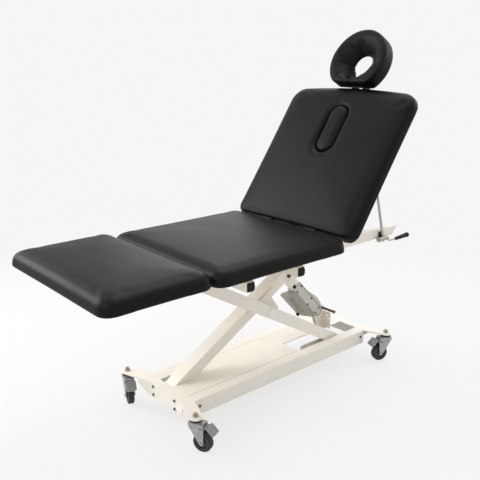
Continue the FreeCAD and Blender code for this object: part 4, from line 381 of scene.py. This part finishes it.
def wheel_finish(name, centre, axle):
    f = Finish(name)
    across = f.vector("CROSS_PRODUCT", f.vector("SUBTRACT", f.place(), centre), axle)
    tyre = f.vector("LENGTH", across, output="Value") > HUB_RADIUS
    scuffs = f.noise(scale=160.0, detail=4.0)
    return f.surface(Base_Color=f.mix(tyre, f.mix(scuffs, *HUB), f.mix(scuffs, *RUBBER)),
                     Roughness=0.36 + tyre * 0.22 + scuffs * 0.1,
                     Normal=f.bump(scuffs, strength=0.15, distance=0.0005))


CORNERS = [title[len("roll_"):] for title in JOINTS if title.startswith("roll_")]
WHEELS = {}
for corner in CORNERS:
    axle = JOINTS["roll_" + corner]
    WHEELS[corner] = wheel_finish("wheel_" + corner, axle["pos_m"], axle["axis"])
print("wheels:", CORNERS)

# %% [markdown]
# ## Plywood boards
# Under each cushion lies a bare plywood board. A picture of wood could be laid on it, but that
# would be one more file to carry along. Here the grain is a noise squeezed across the board and
# drawn out along it, with a much finer one for the pores.

# %% Plywood
PLY_LIGHT = (0.58, 0.42, 0.25)
PLY_DARK = (0.40, 0.27, 0.15)


def plywood_finish(name):
    f = Finish(name)
    rings = f.noise(scale=14.0, detail=6.0, at=f.stretched((1.0, 9.0, 30.0)))
    pores = f.noise(scale=420.0, detail=2.0, at=f.stretched((0.2, 1.0, 1.0)))
    grain = rings * 0.7 + pores * 0.3
    return f.surface(Base_Color=f.mix(grain, PLY_LIGHT, PLY_DARK), Roughness=0.62 + pores * 0.15,
                     Normal=f.bump(grain, strength=0.2, distance=0.0006))


PLYWOOD = plywood_finish("plywood")
print("boards in", PLYWOOD.name)

# %% [markdown]
# ## Giving the rigid pieces their finishes
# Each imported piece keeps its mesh. Its material slots are replaced by one of the finishes, by
# the kind of piece that it is. A table of names is plain to read and easy to change.

# %% Finishes by piece
PAINTED = ["base_rails", "deck_plate", "leg_end_beam", "head_end_beam", "arm_foot_cheeks",
           "lower_track", "base_spine", "actuator_bracket", "far_arm", "near_arm",
           "platform_rails", "cross_tubes", "upper_track", "leg_end_plate", "actuator_yoke",
           "headrest_sockets"]
BRIGHT = ["lower_roller_axle", "actuator_rod", "stay_bracket", "stay_rod", "stay_clamp",
          "release_lever", "leg_straps", "leg_stay_tube", "leg_stay_rod", "headrest_posts"]
# Hinge leaves, back straps and platform pins are black as painted shade: they stand in the shadowed
# gap between seat and backrest.
BLACK_AND_PAINTED_SHADE = ["tube_end_caps", "lever_grip", "upper_roller", "lower_roller", "back_hinge_leaves",
         "back_straps", "platform_pins", "headrest_plate"]


def dress(names, material):
    for name in names:
        mesh = NODES[name].data
        mesh.materials.clear()
        mesh.materials.append(material)


dress(PAINTED, COAT)
dress(BRIGHT, STEEL)
dress(BLACK_AND_PAINTED_SHADE, BLACK_PLASTIC_AND_SHADE)
dress(["actuator_motor"], MOTOR_SKIN)
dress(["actuator_housing"], ACTUATOR_SKIN)
dress(["seat_board", "back_board", "leg_board"], PLYWOOD)
dress(["base_bolts", "base_pivot_pins"], DARK_BOLTS)
dress(["far_arm_pins"], ARM_PINS)
dress(["castor_stems"], STEMS)
for corner in CORNERS:
    dress(["castor_wheel_" + corner], WHEELS[corner])
    dress(["castor_fork_" + corner], ZINC)
    dress(["brake_pedal_" + corner], GREY_PLASTIC)
print("painted", len(PAINTED), "bright", len(BRIGHT), "black", len(BLACK_AND_PAINTED_SHADE))

# %% [markdown]
# ## Soft slabs
# A cushion is foam on a board with the vinyl pulled round it: crowned on top, rolled at the
# edge, drawn in between the corners, flat underneath. A bevelled box would keep its sides
# dead straight. So it starts as an outline of points whose sides draw in.

# %% Outline of a slab
CUSHION_WIDTH = 0.700
TOP_ROLL = 0.036
SIDE_PULL = 0.0025
SIDE_POINTS = 18
CORNER_POINTS = 9


def slab_outline(length, inset, corners, ends, bow):
    """Points round a rounded rectangle: sides draw in, the far end may bow out, and an end's
    share makes its roll tighter."""
    past = max(inset - TOP_ROLL, 0.0)
    rolled = inset - past
    x0 = ends[0] * rolled + past
    x1 = length - ends[1] * rolled - past
    y1 = CUSHION_WIDTH / 2 - inset
    first, last = corners
    centres = [(x1 - last, -y1 + last, -90, last), (x1 - last, y1 - last, 0, last),
               (x0 + first, y1 - first, 90, first), (x0 + first, -y1 + first, 180, first)]
    pulls = (-bow, SIDE_PULL, SIDE_PULL, SIDE_PULL)
    points = []
    for index, (cx, cy, start, corner) in enumerate(centres):
        for step in range(CORNER_POINTS):
            angle = math.radians(start + 90 * step / (CORNER_POINTS - 1))
            points.append((cx + corner * math.cos(angle), cy + corner * math.sin(angle)))
        nx, ny, _, beyond = centres[(index + 1) % 4]
        end = math.radians(start + 90)
        a = Vector((cx + corner * math.cos(end), cy + corner * math.sin(end)))
        b = Vector((nx + beyond * math.cos(end), ny + beyond * math.sin(end)))
        inward = -Vector((math.cos(end), math.sin(end)))
        pull = pulls[index]
        for step in range(1, SIDE_POINTS):
            share = step / SIDE_POINTS
            points.append(tuple(a.lerp(b, share) + inward * pull * math.sin(math.pi * share)))
    return points


print("outline of", 4 * (CORNER_POINTS + SIDE_POINTS - 1), "points")

# %% [markdown]
# The outline is repeated as rings: from the underside's edge, up the side, over the roll and
# on to the crown. Near the edge the rings keep the cushion's round corners; further in they
# tighten, so that they don't run into each other. Equal rings are simple to join with faces.

# %% Rings and their skin
CUSHION_THICKNESS = 0.066
CROWN = 0.0045
CROWN_POWER = 0.7
SHOULDER_DROP = 0.007
SHOULDER = CUSHION_THICKNESS - SHOULDER_DROP
SIDE_RINGS = ((0.002, 0.006), (0.0032, 0.0022), (0.007, 0.0), (0.016, 0.0008), (0.026, 0.0))
ROLL_STEPS = 8
CROWN_SHARES = (0.06, 0.14, 0.24, 0.36, 0.5, 0.65, 0.8)
CORNER_SHRINK = 0.55
CORNER_LEAST = 0.030
INNER_INSET = 0.12
INNER_CORNER = 0.028


def ring_corner(corner, inset):
    if inset < INNER_INSET:
        return max(corner - CORNER_SHRINK * inset, CORNER_LEAST)
    return INNER_CORNER


def slab_rings(length, ends, corners, bow=-SIDE_PULL):
    """Rings from the underside's edge, up the side and over the roll, to the crown."""
    rings = list(SIDE_RINGS)
    for step in range(1, ROLL_STEPS + 1):
        angle = math.radians(90 * step / ROLL_STEPS)
        rise = TOP_ROLL * math.sin(angle) - TOP_ROLL
        rings.append((SHOULDER + rise, TOP_ROLL * (1 - math.cos(angle))))
    reach = min(length, CUSHION_WIDTH) / 2
    for share in CROWN_SHARES:
        rise = (SHOULDER_DROP + CROWN) * math.sin(share * math.pi / 2) ** CROWN_POWER
        rings.append((SHOULDER + rise, TOP_ROLL + share * (reach - TOP_ROLL)))
    made = []
    for height, inset in rings:
        rounds = [ring_corner(corner, inset) for corner in corners]
        outline = slab_outline(length, inset, rounds, ends, bow)
        made.append([(x, y, height) for x, y in outline])
    return made


def skin_of_rings(rings, name):
    """A mesh through equal rings of points, with both ends filled."""
    shape = bmesh.new()
    rows = [[shape.verts.new(p) for p in ring] for ring in rings]
    count = len(rows[0])
    for low, high in zip(rows, rows[1:]):
        for index in range(count):
            after = (index + 1) % count
            shape.faces.new((low[index], low[after], high[after], high[index]))
    shape.faces.new(list(reversed(rows[0])))
    shape.faces.new(rows[-1])
    bmesh.ops.recalc_face_normals(shape, faces=shape.faces)
    mesh = bpy.data.meshes.new(name)
    shape.to_mesh(mesh)
    shape.free()
    piece = bpy.data.objects.new(name, mesh)
    scene.collection.objects.link(piece)
    return piece


print("rings in a slab:", len(SIDE_RINGS) + ROLL_STEPS + len(CROWN_SHARES))

# %% [markdown]
# ## Stretching the vinyl
# Vinyl is pulled tight over foam that pushes back. The rings are remeshed into even quads,
# which the cloth solver needs, and blown up by a mild pressure. Points near the underside are
# held, as staples hold the real cover. No point may move further than the cap, so the sizes
# from the picture stay.

# %% Remesh and inflate
VOXEL = 0.006
CLOTH_FRAMES = 16
PRESSURE = 4.0
CLOTH_QUALITY = 4
CLOTH_STIFFNESS = 25.0


def apply_modifiers(piece):
    graph = bpy.context.evaluated_depsgraph_get()
    mesh = bpy.data.meshes.new_from_object(piece.evaluated_get(graph))
    piece.modifiers.clear()
    piece.data = mesh


def remesh(piece, voxel):
    modifier = piece.modifiers.new("even", "REMESH")
    modifier.mode = "VOXEL"
    modifier.voxel_size = voxel
    apply_modifiers(piece)


def points_of(mesh):
    flat = np.empty(len(mesh.vertices) * 3)
    mesh.vertices.foreach_get("co", flat)
    return flat.reshape(-1, 3)


def inflate(piece, held_below, cap):
    """Blow the skin up as cloth, keeping what lies below a height, and cap each move."""
    before = points_of(piece.data)
    held = piece.vertex_groups.new(name="held")
    held.add([int(i) for i in np.nonzero(before[:, 2] < held_below)[0]], 1.0, "REPLACE")
    cloth = piece.modifiers.new("cloth", "CLOTH")
    cloth.settings.use_pressure = True
    cloth.settings.uniform_pressure_force = PRESSURE
    cloth.settings.effector_weights.gravity = 0.0
    cloth.settings.vertex_group_mass = "held"
    cloth.settings.quality = CLOTH_QUALITY
    cloth.settings.tension_stiffness = CLOTH_STIFFNESS
    cloth.settings.compression_stiffness = CLOTH_STIFFNESS
    cloth.point_cache.frame_end = CLOTH_FRAMES
    for number in range(1, CLOTH_FRAMES + 1):
        scene.frame_set(number)
    apply_modifiers(piece)
    scene.frame_set(1)
    after = points_of(piece.data)
    move = after - before
    size = np.linalg.norm(move, axis=1, keepdims=True)
    move *= np.minimum(1.0, cap / np.maximum(size, 1e-9))
    piece.data.vertices.foreach_set("co", (before + move).ravel())
    piece.vertex_groups.clear()
    print(piece.name, "cloth moved", round(float(size.max()) * 1000, 2), "mm, kept to", cap * 1000)


print("cloth runs for", CLOTH_FRAMES, "frames at pressure", PRESSURE)

# %% [markdown]
# After the cloth, a little smoothing takes out the last voxel steps. Then the piece is moved
# to its place and hung on the body it rides on, and the packed cushion it stands for is hidden.
# The move comes last, because a pad that lies flat at the origin has heights that are easy to read.

# %% Smooth, place and hide the packed cushion
SOFTEN_ROUNDS = 5
SOFTEN_SHARE = 0.5


def soften(piece):
    modifier = piece.modifiers.new("soften", "SMOOTH")
    modifier.factor = SOFTEN_SHARE
    modifier.iterations = SOFTEN_ROUNDS
    apply_modifiers(piece)


def shade_smooth(piece):
    for face in piece.data.polygons:
        face.use_smooth = True


def upholster(piece, held_below, cap, voxel=VOXEL):
    remesh(piece, voxel)
    inflate(piece, held_below, cap)
    soften(piece)


def finish_soft(piece, place, body, node):
    """Shade and place a padded piece, hang it on its body and hide the packed cushion."""
    piece.data.transform(place)
    piece.data.materials.clear()
    piece.data.materials.append(VINYL)
    shade_smooth(piece)
    smooth = piece.modifiers.new("smooth", "SUBSURF")
    smooth.levels = 1
    smooth.render_levels = 1
    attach(piece, body)
    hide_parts(node)


print("smoothing in", SOFTEN_ROUNDS, "rounds of", SOFTEN_SHARE)

# %% [markdown]
# ## Seat and leg section
# Two plain slabs, told apart only by length and place. Typed places could drift from the
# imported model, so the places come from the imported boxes. The seat gets a little spare length
# and a tighter roll where it meets the backrest, because foam fills that joint.

# %% Seat and leg cushions
PLAN_CORNER = 0.048
SWELL = 0.003
HELD = 0.016
MEETING_SPARE = 0.004
MEETING_ROLL = 0.40
SQUARE = (PLAN_CORNER, PLAN_CORNER)
seat_low, seat_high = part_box("seat_cushion")
leg_low, leg_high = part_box("leg_cushion")


def plain_slab(name, low, high, body, node, spare, ends):
    length = high.x - low.x + spare
    piece = skin_of_rings(slab_rings(length, ends, SQUARE), name)
    upholster(piece, HELD, SWELL)
    finish_soft(piece, Matrix.Translation((low.x, 0, low.z)), body, node)
    print(name, "length", round(length, 3))


plain_slab("seat_pad", seat_low, seat_high, "platform", "seat_cushion", MEETING_SPARE,
           (1.0, MEETING_ROLL))
plain_slab("leg_pad", leg_low, leg_high, "leg_section", "leg_cushion", 0.0, (1.0, 1.0))

# %% [markdown]
# ## Backrest and its face hole
# The backrest is the same slab with rounder corners and a bowed edge at the head, and with a
# round-ended hole through it, so that a person can lie face down and breathe. A cutter with a
# flared mouth takes the hole out before the remesh, and the remesh then rolls the mouth's
# edge as vinyl rolls into such a hole.

# %% Backrest cushion
BACK_ANGLE = math.radians(55.0)
BACK_LENGTH = 0.676
BACK_SPARE = 0.013
BACK_VOXEL = 0.0065
HEAD_CORNER = 0.078
HEAD_BOW = 0.011
HOLE_CENTRE = 0.462
HOLE_LENGTH = 0.236
HOLE_WIDTH = 0.100
HOLE_BELOW = -0.01
HOLE_MOUTH = ((0.0, -0.017), (0.0015, -0.011), (0.005, -0.005), (0.012, -0.001), (0.020, 0.006))
PAD_TOP = CUSHION_THICKNESS + CROWN
SEAT_TOP = seat_low.z + CUSHION_THICKNESS
BACK_PLACE = (Matrix.Translation((seat_high.x, 0, SEAT_TOP))
              @ Matrix.Rotation(-BACK_ANGLE, 4, "Y")
              @ Matrix.Translation((0, 0, -CUSHION_THICKNESS)))


def slot_outline(grow, height, steps=14):
    """Round-ended slot along x, grown by a margin."""
    radius = HOLE_WIDTH / 2 + grow
    half = HOLE_LENGTH / 2 - HOLE_WIDTH / 2
    points = []
    for side, start in ((1, -90), (-1, 90)):
        for step in range(steps + 1):
            angle = math.radians(start + 180 * step / steps)
            along = HOLE_CENTRE + side * half + radius * math.cos(angle)
            points.append((along, radius * math.sin(angle), height))
    return points


def back_pad():
    rings = slab_rings(BACK_LENGTH + BACK_SPARE, (MEETING_ROLL, 1.0),
                       (PLAN_CORNER, HEAD_CORNER), HEAD_BOW)
    rings = [[(x - BACK_SPARE, y, z) for x, y, z in ring] for ring in rings]
    piece = skin_of_rings(rings, "back_pad")
    mouth = [slot_outline(grow, PAD_TOP + above) for grow, above in HOLE_MOUTH]
    cutter = skin_of_rings([slot_outline(0.0, HOLE_BELOW)] + mouth, "hole_cutter")
    cut = piece.modifiers.new("hole", "BOOLEAN")
    cut.object = cutter
    cut.operation = "DIFFERENCE"
    cut.solver = "EXACT"
    apply_modifiers(piece)
    bpy.data.objects.remove(cutter)
    upholster(piece, HELD, SWELL, BACK_VOXEL)
    finish_soft(piece, BACK_PLACE, "backrest", "back_cushion")


back_pad()
print("backrest hole", HOLE_LENGTH, "by", HOLE_WIDTH)

# %% [markdown]
# A loose plug fills the hole when nobody lies face down. It is made like the hole, from the
# same slot shrunk a little at each height, so that plug and hole always keep their play.

# %% Plug of the face hole
PLUG_FOOT = ((-0.004, 0.006), (-0.0012, 0.012))
PLUG_CROWN = ((-0.001, -0.022), (-0.0025, -0.014), (-0.0065, -0.0065), (-0.013, -0.002),
              (-0.024, 0.0))
PLUG_HELD = 0.045
PLUG_SWELL = 0.0015
PLUG_VOXEL = 0.004

plug_rings = [slot_outline(grow, height) for grow, height in PLUG_FOOT]
plug_rings += [slot_outline(grow, PAD_TOP + above) for grow, above in PLUG_CROWN]
plug = skin_of_rings(plug_rings, "face_hole_plug")
upholster(plug, PLUG_HELD, PLUG_SWELL, PLUG_VOXEL)
finish_soft(plug, BACK_PLACE, "face_plug", "face_plug")
print("plug from", len(plug_rings), "rings")

# %% [markdown]
# ## Headrest
# The headrest is a padded horseshoe whose ends nearly meet at the bottom. A torus would be
# round in section, but this one leans in towards the face opening. So a drawn section is
# carried round the ring, narrowing to a V at the slit, and the ring is cut short on the side
# that faces the backrest. A few sine waves gather the loose vinyl in folds.

# %% Headrest ring
RING_CENTRE = 0.786
RING_PROUD = 0.044
RING_TILT = math.radians(6.8)
RING_RADIUS = 0.145
RING_THICKNESS = 0.075
RING_HOLE = 0.058
RING_FLAT = 0.107
RING_SWEEP = math.radians(178.0)
RING_STEPS = 72
SLIT = 0.0035
RING_PLACE = (BACK_PLACE @ Matrix.Translation((RING_CENTRE, 0, CUSHION_THICKNESS + RING_PROUD))
              @ Matrix.Rotation(-RING_TILT, 4, "Y")
              @ Matrix.Translation((0, 0, -RING_THICKNESS)))
RING_SECTION = [(0.93, 0.0), (0.985, 0.003), (1.0, 0.012), (1.0, 0.036), (1.0, 0.060),
                (0.993, 0.068), (0.972, 0.0728), (0.93, 0.0745), (0.84, 0.0742), (0.72, 0.0735),
                (0.60, 0.072), (0.48, 0.0685), (0.37, 0.062), (0.26, 0.053), (0.14, 0.043),
                (0.02, 0.031), (-0.09, 0.020), (-0.14, 0.010), (-0.12, 0.002), (-0.04, 0.0),
                (0.3, 0.0), (0.6, 0.0)]
NOTCH_MOUTH = Vector((-0.020, 0.052))
NOTCH_TIP = Vector((-0.094, SLIT))
FOLDS = ((7, 1.3, 0.0022), (11, 0.4, 0.0014), (4, 2.6, 0.0016))
FOLD_CENTRE = 0.3
FOLD_WIDTH = 0.22


def ring_hole(c, s):
    """Radius of the face opening along one direction: a circle that narrows to a V."""
    slope = (NOTCH_MOUTH.y - NOTCH_TIP.y) / (NOTCH_MOUTH.x - NOTCH_TIP.x)
    along = (NOTCH_MOUTH.y - slope * NOTCH_MOUTH.x) / (abs(s) - slope * c)
    return max(RING_HOLE, along) if c < 0 else RING_HOLE


def ring_folds(angle, across):
    """Loose vinyl gathers in soft folds where it turns down into the opening."""
    weight = math.exp(-((across - FOLD_CENTRE) / FOLD_WIDTH) ** 2)
    return weight * sum(size * math.sin(count * angle + start) for count, start, size in FOLDS)


def headrest_rings():
    rings = []
    for step in range(RING_STEPS + 1):
        angle = RING_SWEEP * (1 - 2 * step / RING_STEPS)
        c, s = math.cos(angle), math.sin(angle)
        outer = min(RING_RADIUS, RING_FLAT / -c) if c < 0 else RING_RADIUS
        inner = ring_hole(c, s)
        side = 1 if s >= 0 else -1
        ring = []
        for across, height in RING_SECTION:
            radius = inner + across * (outer - inner) + ring_folds(angle, across)
            ring.append((radius * c, side * max(abs(radius * s), SLIT), height))
        rings.append(ring)
    return rings


print("section of", len(RING_SECTION), "points, in", RING_STEPS + 1, "rings")

# %% [markdown]
# A seam runs round the ring's front edge, where the face panel meets the side band. It is laid
# after the cloth has settled, since nobody knows before where that edge will lie: for each
# direction the corner of the settled skin is looked up, and a fine bead of doubled vinyl is
# drawn along those corners.

# %% Headrest and its seam
SEAM_RADIUS = 0.0013
SEAM_STEPS = 96
SEAM_REACH = math.radians(158.0)
SEAM_WINDOW = 0.05
SEAM_ROUNDS = 3
RING_HELD = 0.008
RING_VOXEL = 0.0045


def front_edge(mesh):
    """Corner points of the settled ring, one for each direction."""
    places = points_of(mesh)
    turn = np.arctan2(places[:, 1], places[:, 0])
    score = np.hypot(places[:, 0], places[:, 1]) + places[:, 2]
    angles = [SEAM_REACH * (2 * step / SEAM_STEPS - 1) for step in range(SEAM_STEPS + 1)]
    corners = []
    for angle in angles:
        near = np.abs(turn - angle) < SEAM_WINDOW
        best = places[np.argmax(np.where(near, score, -1.0))]
        corners.append((math.hypot(best[0], best[1]), best[2]))
    sizes = np.array(corners)
    for _ in range(SEAM_ROUNDS):
        sizes[1:-1] = (sizes[:-2] + sizes[1:-1] + sizes[2:]) / 3
    return [Vector((r * math.cos(a), r * math.sin(a), h)) for (r, h), a in zip(sizes, angles)]


def bead(path, radius, name, upward=(0, 0, 1), sides=8):
    """A round bead along a path of points that never runs along its upward direction."""
    turns = [2 * math.pi * k / sides for k in range(sides)]
    rings = []
    for index, point in enumerate(path):
        ahead = path[min(index + 1, len(path) - 1)] - path[max(index - 1, 0)]
        ahead = ahead.normalized()
        over = ahead.cross(Vector(upward)).normalized()
        up = over.cross(ahead)
        rings.append([point + radius * (over * math.cos(a) + up * math.sin(a)) for a in turns])
    return skin_of_rings(rings, name)


ring_pad = skin_of_rings(headrest_rings(), "headrest_pad")
upholster(ring_pad, RING_HELD, SWELL, RING_VOXEL)
seam = bead(front_edge(ring_pad.data), SEAM_RADIUS, "headrest_seam")
seam.data.transform(RING_PLACE)
seam.data.materials.append(VINYL)
shade_smooth(seam)
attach(seam, "headrest")
finish_soft(ring_pad, RING_PLACE, "headrest", "headrest_cushion")
print("headrest ring with", SEAM_STEPS, "seam steps")

# %% [markdown]
# ## Small fittings on the actuator
# The bought-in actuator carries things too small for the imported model: a dark gasket line on
# the housing, socket screws along it, a knob on the motor and a bolt through the yoke. They
# are easiest to draw in the actuator's own frame, along its spindle, and that frame is found
# from the places of its two pivots.

# %% Actuator frame and turned shapes
REAR_OFFSET = 0.0315
HOUSING_SIDE = -0.0220
swing = Vector(JOINTS["actuator_swing"]["pos_m"])
span = Vector(yoke_pin) - swing
span_length = math.hypot(span.x, span.z)
ACTUATOR_ANGLE = math.atan2(span.z, span.x) - math.asin(REAR_OFFSET / span_length)
ACTUATOR_PLACE = (Matrix.Translation(swing) @ Matrix.Rotation(-ACTUATOR_ANGLE, 4, "Y")
                  @ Matrix.Translation((0, 0, REAR_OFFSET)))
EYE_ALONG = math.sqrt(span.x ** 2 + span.z ** 2 - REAR_OFFSET ** 2)


def turned(profile, spot, axis, name, steps=20):
    """A turned shape: pairs of radius and height along an axis that starts at a spot."""
    axis = Vector(axis)
    side = axis.orthogonal().normalized()
    other = axis.cross(side)
    turns = [2 * math.pi * k / steps for k in range(steps)]
    rings = []
    for radius, height in profile:
        centre = Vector(spot) + axis * height
        rings.append([centre + radius * (side * math.cos(a) + other * math.sin(a)) for a in turns])
    return skin_of_rings(rings, name)


def fit(piece, body):
    piece.data.transform(ACTUATOR_PLACE)
    piece.data.materials.append(BLACK_PLASTIC_AND_SHADE)
    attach(piece, body)


print("actuator leans", round(math.degrees(ACTUATOR_ANGLE), 1), "degrees")

# %% [markdown]
# The gasket follows the housing's near face, down one side, round its rear end and back. Each
# screw, the knob and the bolt are turned shapes, as a lathe would make them: a short list of
# radii and heights. The screws and the bolt end in a sunk ring, which reads as a socket.

# %% Gasket, screws, knob and bolt
GASKET = 0.0009
GASKET_EDGE = 0.0225
GASKET_BEND = 0.125
GASKET_STEPS = 18
END_CENTRE = 0.022
HOUSING_FRONT = 0.231
SCREW = [(0.0042, 0.0), (0.0042, 0.0016), (0.0036, 0.0022), (0.0020, 0.0022), (0.0018, 0.0010)]
SCREW_SPOTS = [(0.030, -0.014), (0.030, 0.014), (0.110, -0.0165), (0.110, 0.0165),
               (0.215, -0.0165), (0.215, 0.0165)]
KNOB = [(0.0060, -0.004), (0.0060, 0.002), (0.0085, 0.003), (0.0088, 0.0085),
        (0.0075, 0.0105), (0.0030, 0.0110)]
KNOB_SPOT = (0.104, 0.0, 0.074)
BOLT = [(0.0095, 0.0), (0.0095, 0.0012), (0.0072, 0.0014), (0.0072, 0.0050),
        (0.0062, 0.0060), (0.0034, 0.0060), (0.0030, 0.0035)]
BOLT_BACK = 0.082
BOLT_ABOVE = 0.011
BOLT_SPOT = (EYE_ALONG - BOLT_BACK, HOUSING_SIDE, BOLT_ABOVE)
NEAR = (0, -1, 0)

gasket_line = [(HOUSING_FRONT, -GASKET_EDGE), (GASKET_BEND, -GASKET_EDGE)]
for step in range(GASKET_STEPS + 1):
    turn = math.radians(270 - 180 / GASKET_STEPS * step)
    gasket_line.append((END_CENTRE + GASKET_EDGE * math.cos(turn), GASKET_EDGE * math.sin(turn)))
gasket_line += [(GASKET_BEND, GASKET_EDGE), (HOUSING_FRONT, GASKET_EDGE)]
gasket_path = [Vector((along, HOUSING_SIDE, across)) for along, across in gasket_line]
fit(bead(gasket_path, GASKET, "housing_gasket", upward=(0, 1, 0)), "actuator_body")
for number, (along, across) in enumerate(SCREW_SPOTS):
    screw = turned(SCREW, (along, HOUSING_SIDE, across), NEAR, "housing_screw_%d" % number)
    fit(screw, "actuator_body")
fit(turned(KNOB, KNOB_SPOT, (0, 0, 1), "motor_knob"), "actuator_body")
fit(turned(BOLT, BOLT_SPOT, NEAR, "yoke_bolt"), "actuator_ram")
print("gasket, knob, bolt and", len(SCREW_SPOTS), "screws")

# %% [markdown]
# ## Studio floor
# The picture has no horizon: a pale sweep with a soft shadow under the base. A white floor
# under strong lamps would burn out. Here the floor is a pale plane that mixes into plain
# background light, more so away from the object, so the shadow stays and no edge shows.
# Rays that reach the floor in a reflection see that background too.

# %% Floor
FLOOR_TONE = 0.73
FLOOR_SHADOW = 0.80
FLOOR_REACH = 30.0
FADE_START = 1.2
FADE_END = 3.0
BACKGROUND = 0.915


def grey(tone):
    return (tone, tone, tone, 1.0)


def seen_share(f):
    """One where a ray shows the background: straight, in a reflection or through glass."""
    camera_ray = f.node("ShaderNodeLightPath", output="Is Camera Ray")
    glossy_ray = camera_ray.out("Is Glossy Ray")
    through_ray = camera_ray.out("Is Transmission Ray")
    return f.node("ShaderNodeMath", {"operation": "ADD", "use_clamp": True},
                  {0: camera_ray + glossy_ray, 1: through_ray})


def floor_finish():
    f = Finish("studio_floor")
    place = f.node("ShaderNodeNewGeometry", output="Position")
    fade = f.node("ShaderNodeMapRange", {"interpolation_type": "SMOOTHSTEP"},
                  {"Value": f.vector("LENGTH", place, output="Value"),
                   "From Min": FADE_START, "From Max": FADE_END})
    share = seen_share(f) * (fade * (1.0 - FLOOR_SHADOW) + FLOOR_SHADOW)
    paper = f.node("ShaderNodeBsdfDiffuse", None, {"Color": grey(FLOOR_TONE)})
    glow = f.node("ShaderNodeEmission", None, {"Color": grey(BACKGROUND), "Strength": 1.0})
    return f.show(f.node("ShaderNodeMixShader", None, {0: share, 1: paper, 2: glow}))


def make_floor():
    shape = bmesh.new()
    bmesh.ops.create_circle(shape, cap_ends=True, segments=64, radius=FLOOR_REACH)
    mesh = bpy.data.meshes.new("studio_floor")
    shape.to_mesh(mesh)
    shape.free()
    mesh.materials.append(floor_finish())
    floor = bpy.data.objects.new("studio_floor", mesh)
    scene.collection.objects.link(floor)


make_floor()
print("floor radius", FLOOR_REACH)

# %% [markdown]
# ## World light
# A studio is brighter overhead than at its walls. One even grey would light the cushions'
# sides as strongly as their tops, so the world's light rises from the horizon to the zenith.
# The camera and reflections see the plain background in its place.

# %% World
HORIZON = 0.60
ZENITH = 0.95
SKY_LOW = -0.1
SKY_HIGH = 0.8


def make_world():
    f = Finish("studio", "World")
    direction = f.node("ShaderNodeTexCoord", output="Generated")
    up = f.node("ShaderNodeSeparateXYZ", None, {0: direction}, output="Z")
    sky = f.node("ShaderNodeMapRange", None, {"Value": up, "From Min": SKY_LOW, "From Max": SKY_HIGH,
                                              "To Min": HORIZON, "To Max": ZENITH})
    level = sky + seen_share(f) * (BACKGROUND - sky)
    return f.show(f.node("ShaderNodeBackground", None, {"Color": level, "Strength": 1.0}))


scene.world = make_world()
print("world from", HORIZON, "to", ZENITH)

# %% [markdown]
# ## Lamps
# Five soft boxes stand round the table, hidden from the camera. The one on the far side gives
# the backrest its sheen, the one overhead draws the rolls of the cushions, and the others are
# weak fills. Broad lamps are chosen because their shadows have soft edges.

# %% Lamps
LAMPS = [("overhead", (1.1, 0.4, 3.2), (0.0, 0.0, 0.6), 2.4, 38.0),
         ("far_side", (-1.9, 2.7, 2.2), (0.1, 0.0, 0.6), 2.2, 92.0),
         ("behind", (2.5, 3.0, 2.2), (-0.3, 0.0, 0.7), 2.2, 16.0),
         ("head_side", (2.9, -0.5, 1.3), (0.2, 0.0, 0.1), 1.6, 12.0),
         ("leg_side", (-2.4, -0.8, 2.7), (0.2, 0.0, 0.9), 1.6, 18.0)]

for name, place, aim, size, power in LAMPS:
    data = bpy.data.lights.new(name, "AREA")
    data.shape = "SQUARE"
    data.size = size
    data.energy = power
    lamp = bpy.data.objects.new(name, data)
    lamp.visible_camera = False
    lamp.location = place
    lamp.rotation_euler = (Vector(aim) - Vector(place)).to_track_quat("-Z", "Y").to_euler()
    scene.collection.objects.link(lamp)
scene.view_settings.view_transform = "Standard"
print("lamps:", [lamp[0] for lamp in LAMPS])
